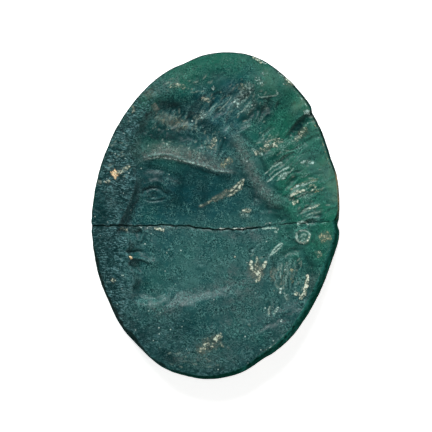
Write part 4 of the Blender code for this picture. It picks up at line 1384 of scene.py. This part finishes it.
def backMaterial(name):
    # the flat back, scuffed where it lay in its setting
    bench = startBench(name)
    grain, fine = startNoise(bench)
    patchy = bench.noise(0.5, 5.0, 0.62, 0.4)
    scuffs = bench.noise(2.2, 4.0, 0.7, 0.3, stretch=(0.12, 2.6, 1.0))
    bench.colour = bench.mix(bench.remap(patchy, 0.38, 0.62, 0.0, 0.5), glass["deep"], glass["bloomAndSheen"])
    bench.coat(bench.remap(grain, 0.47, 0.34, 0.0, 0.8), "dark")
    bench.coat(bench.remap(fine, 0.52, 0.63, 0.0, 0.7), "pale")
    bench.coat(bench.remap(scuffs, 0.60, 0.68, 0.0, 0.55), "filmAndSheen")
    bench.coat(bench.times(bench.spots(2.2, 0.070, 0.20), 0.6), "paleSpeck")
    height = bench.combine("ADD", grain, bench.times(fine, 0.45))
    return finishShader(bench, bench.remap(grain, 0.3, 0.7, 0.35, 0.60), glass["sheen"], height)


# Studio

studio = {
    "fieldWidth": 34.45,
    "lens": 250.0,
    "sensor": 36.0,
    "clipStart": 0.01,
    # what the camera looks at, in mm
    "focus": (-0.05, -0.02, 0.4),
    "floorSize": 4.0,
    "floor": (0.93, 0.93, 0.925, 1.0),
    "floorRoughness": 0.8,
    "floorGlow": 0.8,
    # glow of the tent low down and overhead, and the heights between which it fades
    "horizon": 0.95,
    "zenith": 0.05,
    "fadeFrom": 0.10,
    "fadeTo": 0.65,
    "lightDistance": 0.3,
    # direction it comes from, angle it fills in degrees, strength
    "keyLight": ((-0.30, 0.80, 0.72), 34.0, 4.2),
    "fillLight": ((0.75, -0.45, 0.50), 60.0, 0.5),
}


def floorMaterial():
    bench = NodeBench("paleFloor")
    bench.feed(bench.shader, "Base Color", studio["floor"])
    bench.feed(bench.shader, "Roughness", studio["floorRoughness"])
    bench.feed(bench.shader, "Emission Color", studio["floor"])
    bench.feed(bench.shader, "Emission Strength", studio["floorGlow"])
    return bench.material


def addFloor():
    bpy.ops.object.select_all(action="DESELECT")
    bpy.ops.mesh.primitive_plane_add(size=studio["floorSize"], location=(0.0, 0.0, cadBox[0][2]))
    floor = bpy.context.object
    floor.name = "floor"
    bpy.ops.object.transform_apply(location=True, rotation=False, scale=False)
    floor.data.materials.append(floorMaterial())


def addLight(name, direction, angle, strength):
    bpy.ops.object.light_add(type="SUN", location=Vector(direction) * studio["lightDistance"])
    light = bpy.context.object
    light.name = name
    light.data.angle = math.radians(angle)
    light.data.energy = strength
    light.rotation_euler = (-Vector(direction)).to_track_quat("-Z", "Y").to_euler()


def addWorld():
    # a light tent: bright low down, dim overhead
    world = bpy.data.worlds.new("studio")
    world.use_nodes = True
    nodes, links = world.node_tree.nodes, world.node_tree.links
    direction = nodes.new("ShaderNodeTexCoord")
    split = nodes.new("ShaderNodeSeparateXYZ")
    fade = nodes.new("ShaderNodeMapRange")
    for index, key in enumerate(("fadeFrom", "fadeTo", "horizon", "zenith")):
        fade.inputs[index + 1].default_value = studio[key]
    links.new(direction.outputs["Generated"], split.inputs[0])
    links.new(split.outputs["Z"], fade.inputs[0])
    links.new(fade.outputs[0], nodes["Background"].inputs["Strength"])
    nodes["Background"].inputs["Color"].default_value = (1.0, 1.0, 1.0, 1.0)
    bpy.context.scene.world = world


def addCamera():
    bpy.ops.object.camera_add(location=(0.0, 0.0, 0.0))
    camera = bpy.context.object
    camera.name = "camera"
    camera.data.lens = studio["lens"]
    camera.data.sensor_width = studio["sensor"]
    distance = studio["fieldWidth"] * mm * camera.data.lens / camera.data.sensor_width
    camera.location = Vector(studio["focus"]) * mm + Vector((0.0, 0.0, distance))
    camera.rotation_euler = Euler((0.0, 0.0, stone["headTilt"]))
    camera.data.clip_start = studio["clipStart"]
    bpy.context.scene.camera = camera


def setStudio():
    print("setting the studio")
    addFloor()
    addLight("keyLight", *studio["keyLight"])
    addLight("fillLight", *studio["fillLight"])
    addWorld()
    bpy.context.scene.view_settings.view_transform = "Standard"
    addCamera()


def makeFragments():
    pieces = (("upperGlass", "upper_fragment", True), ("lowerGlass", "lower_fragment", False))
    for name, node, upper in pieces:
        piece = modelFragment(name, upper)
        print("painting", name)
        paintMasks(piece)
        piece.data.materials.append(faceMaterial(name + "Face"))
        piece.data.materials.append(wallMaterial(name + "Wall"))
        piece.data.materials.append(backMaterial(name + "Back"))
        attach(piece, "root")
        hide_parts(node)


makeFragments()
setStudio()
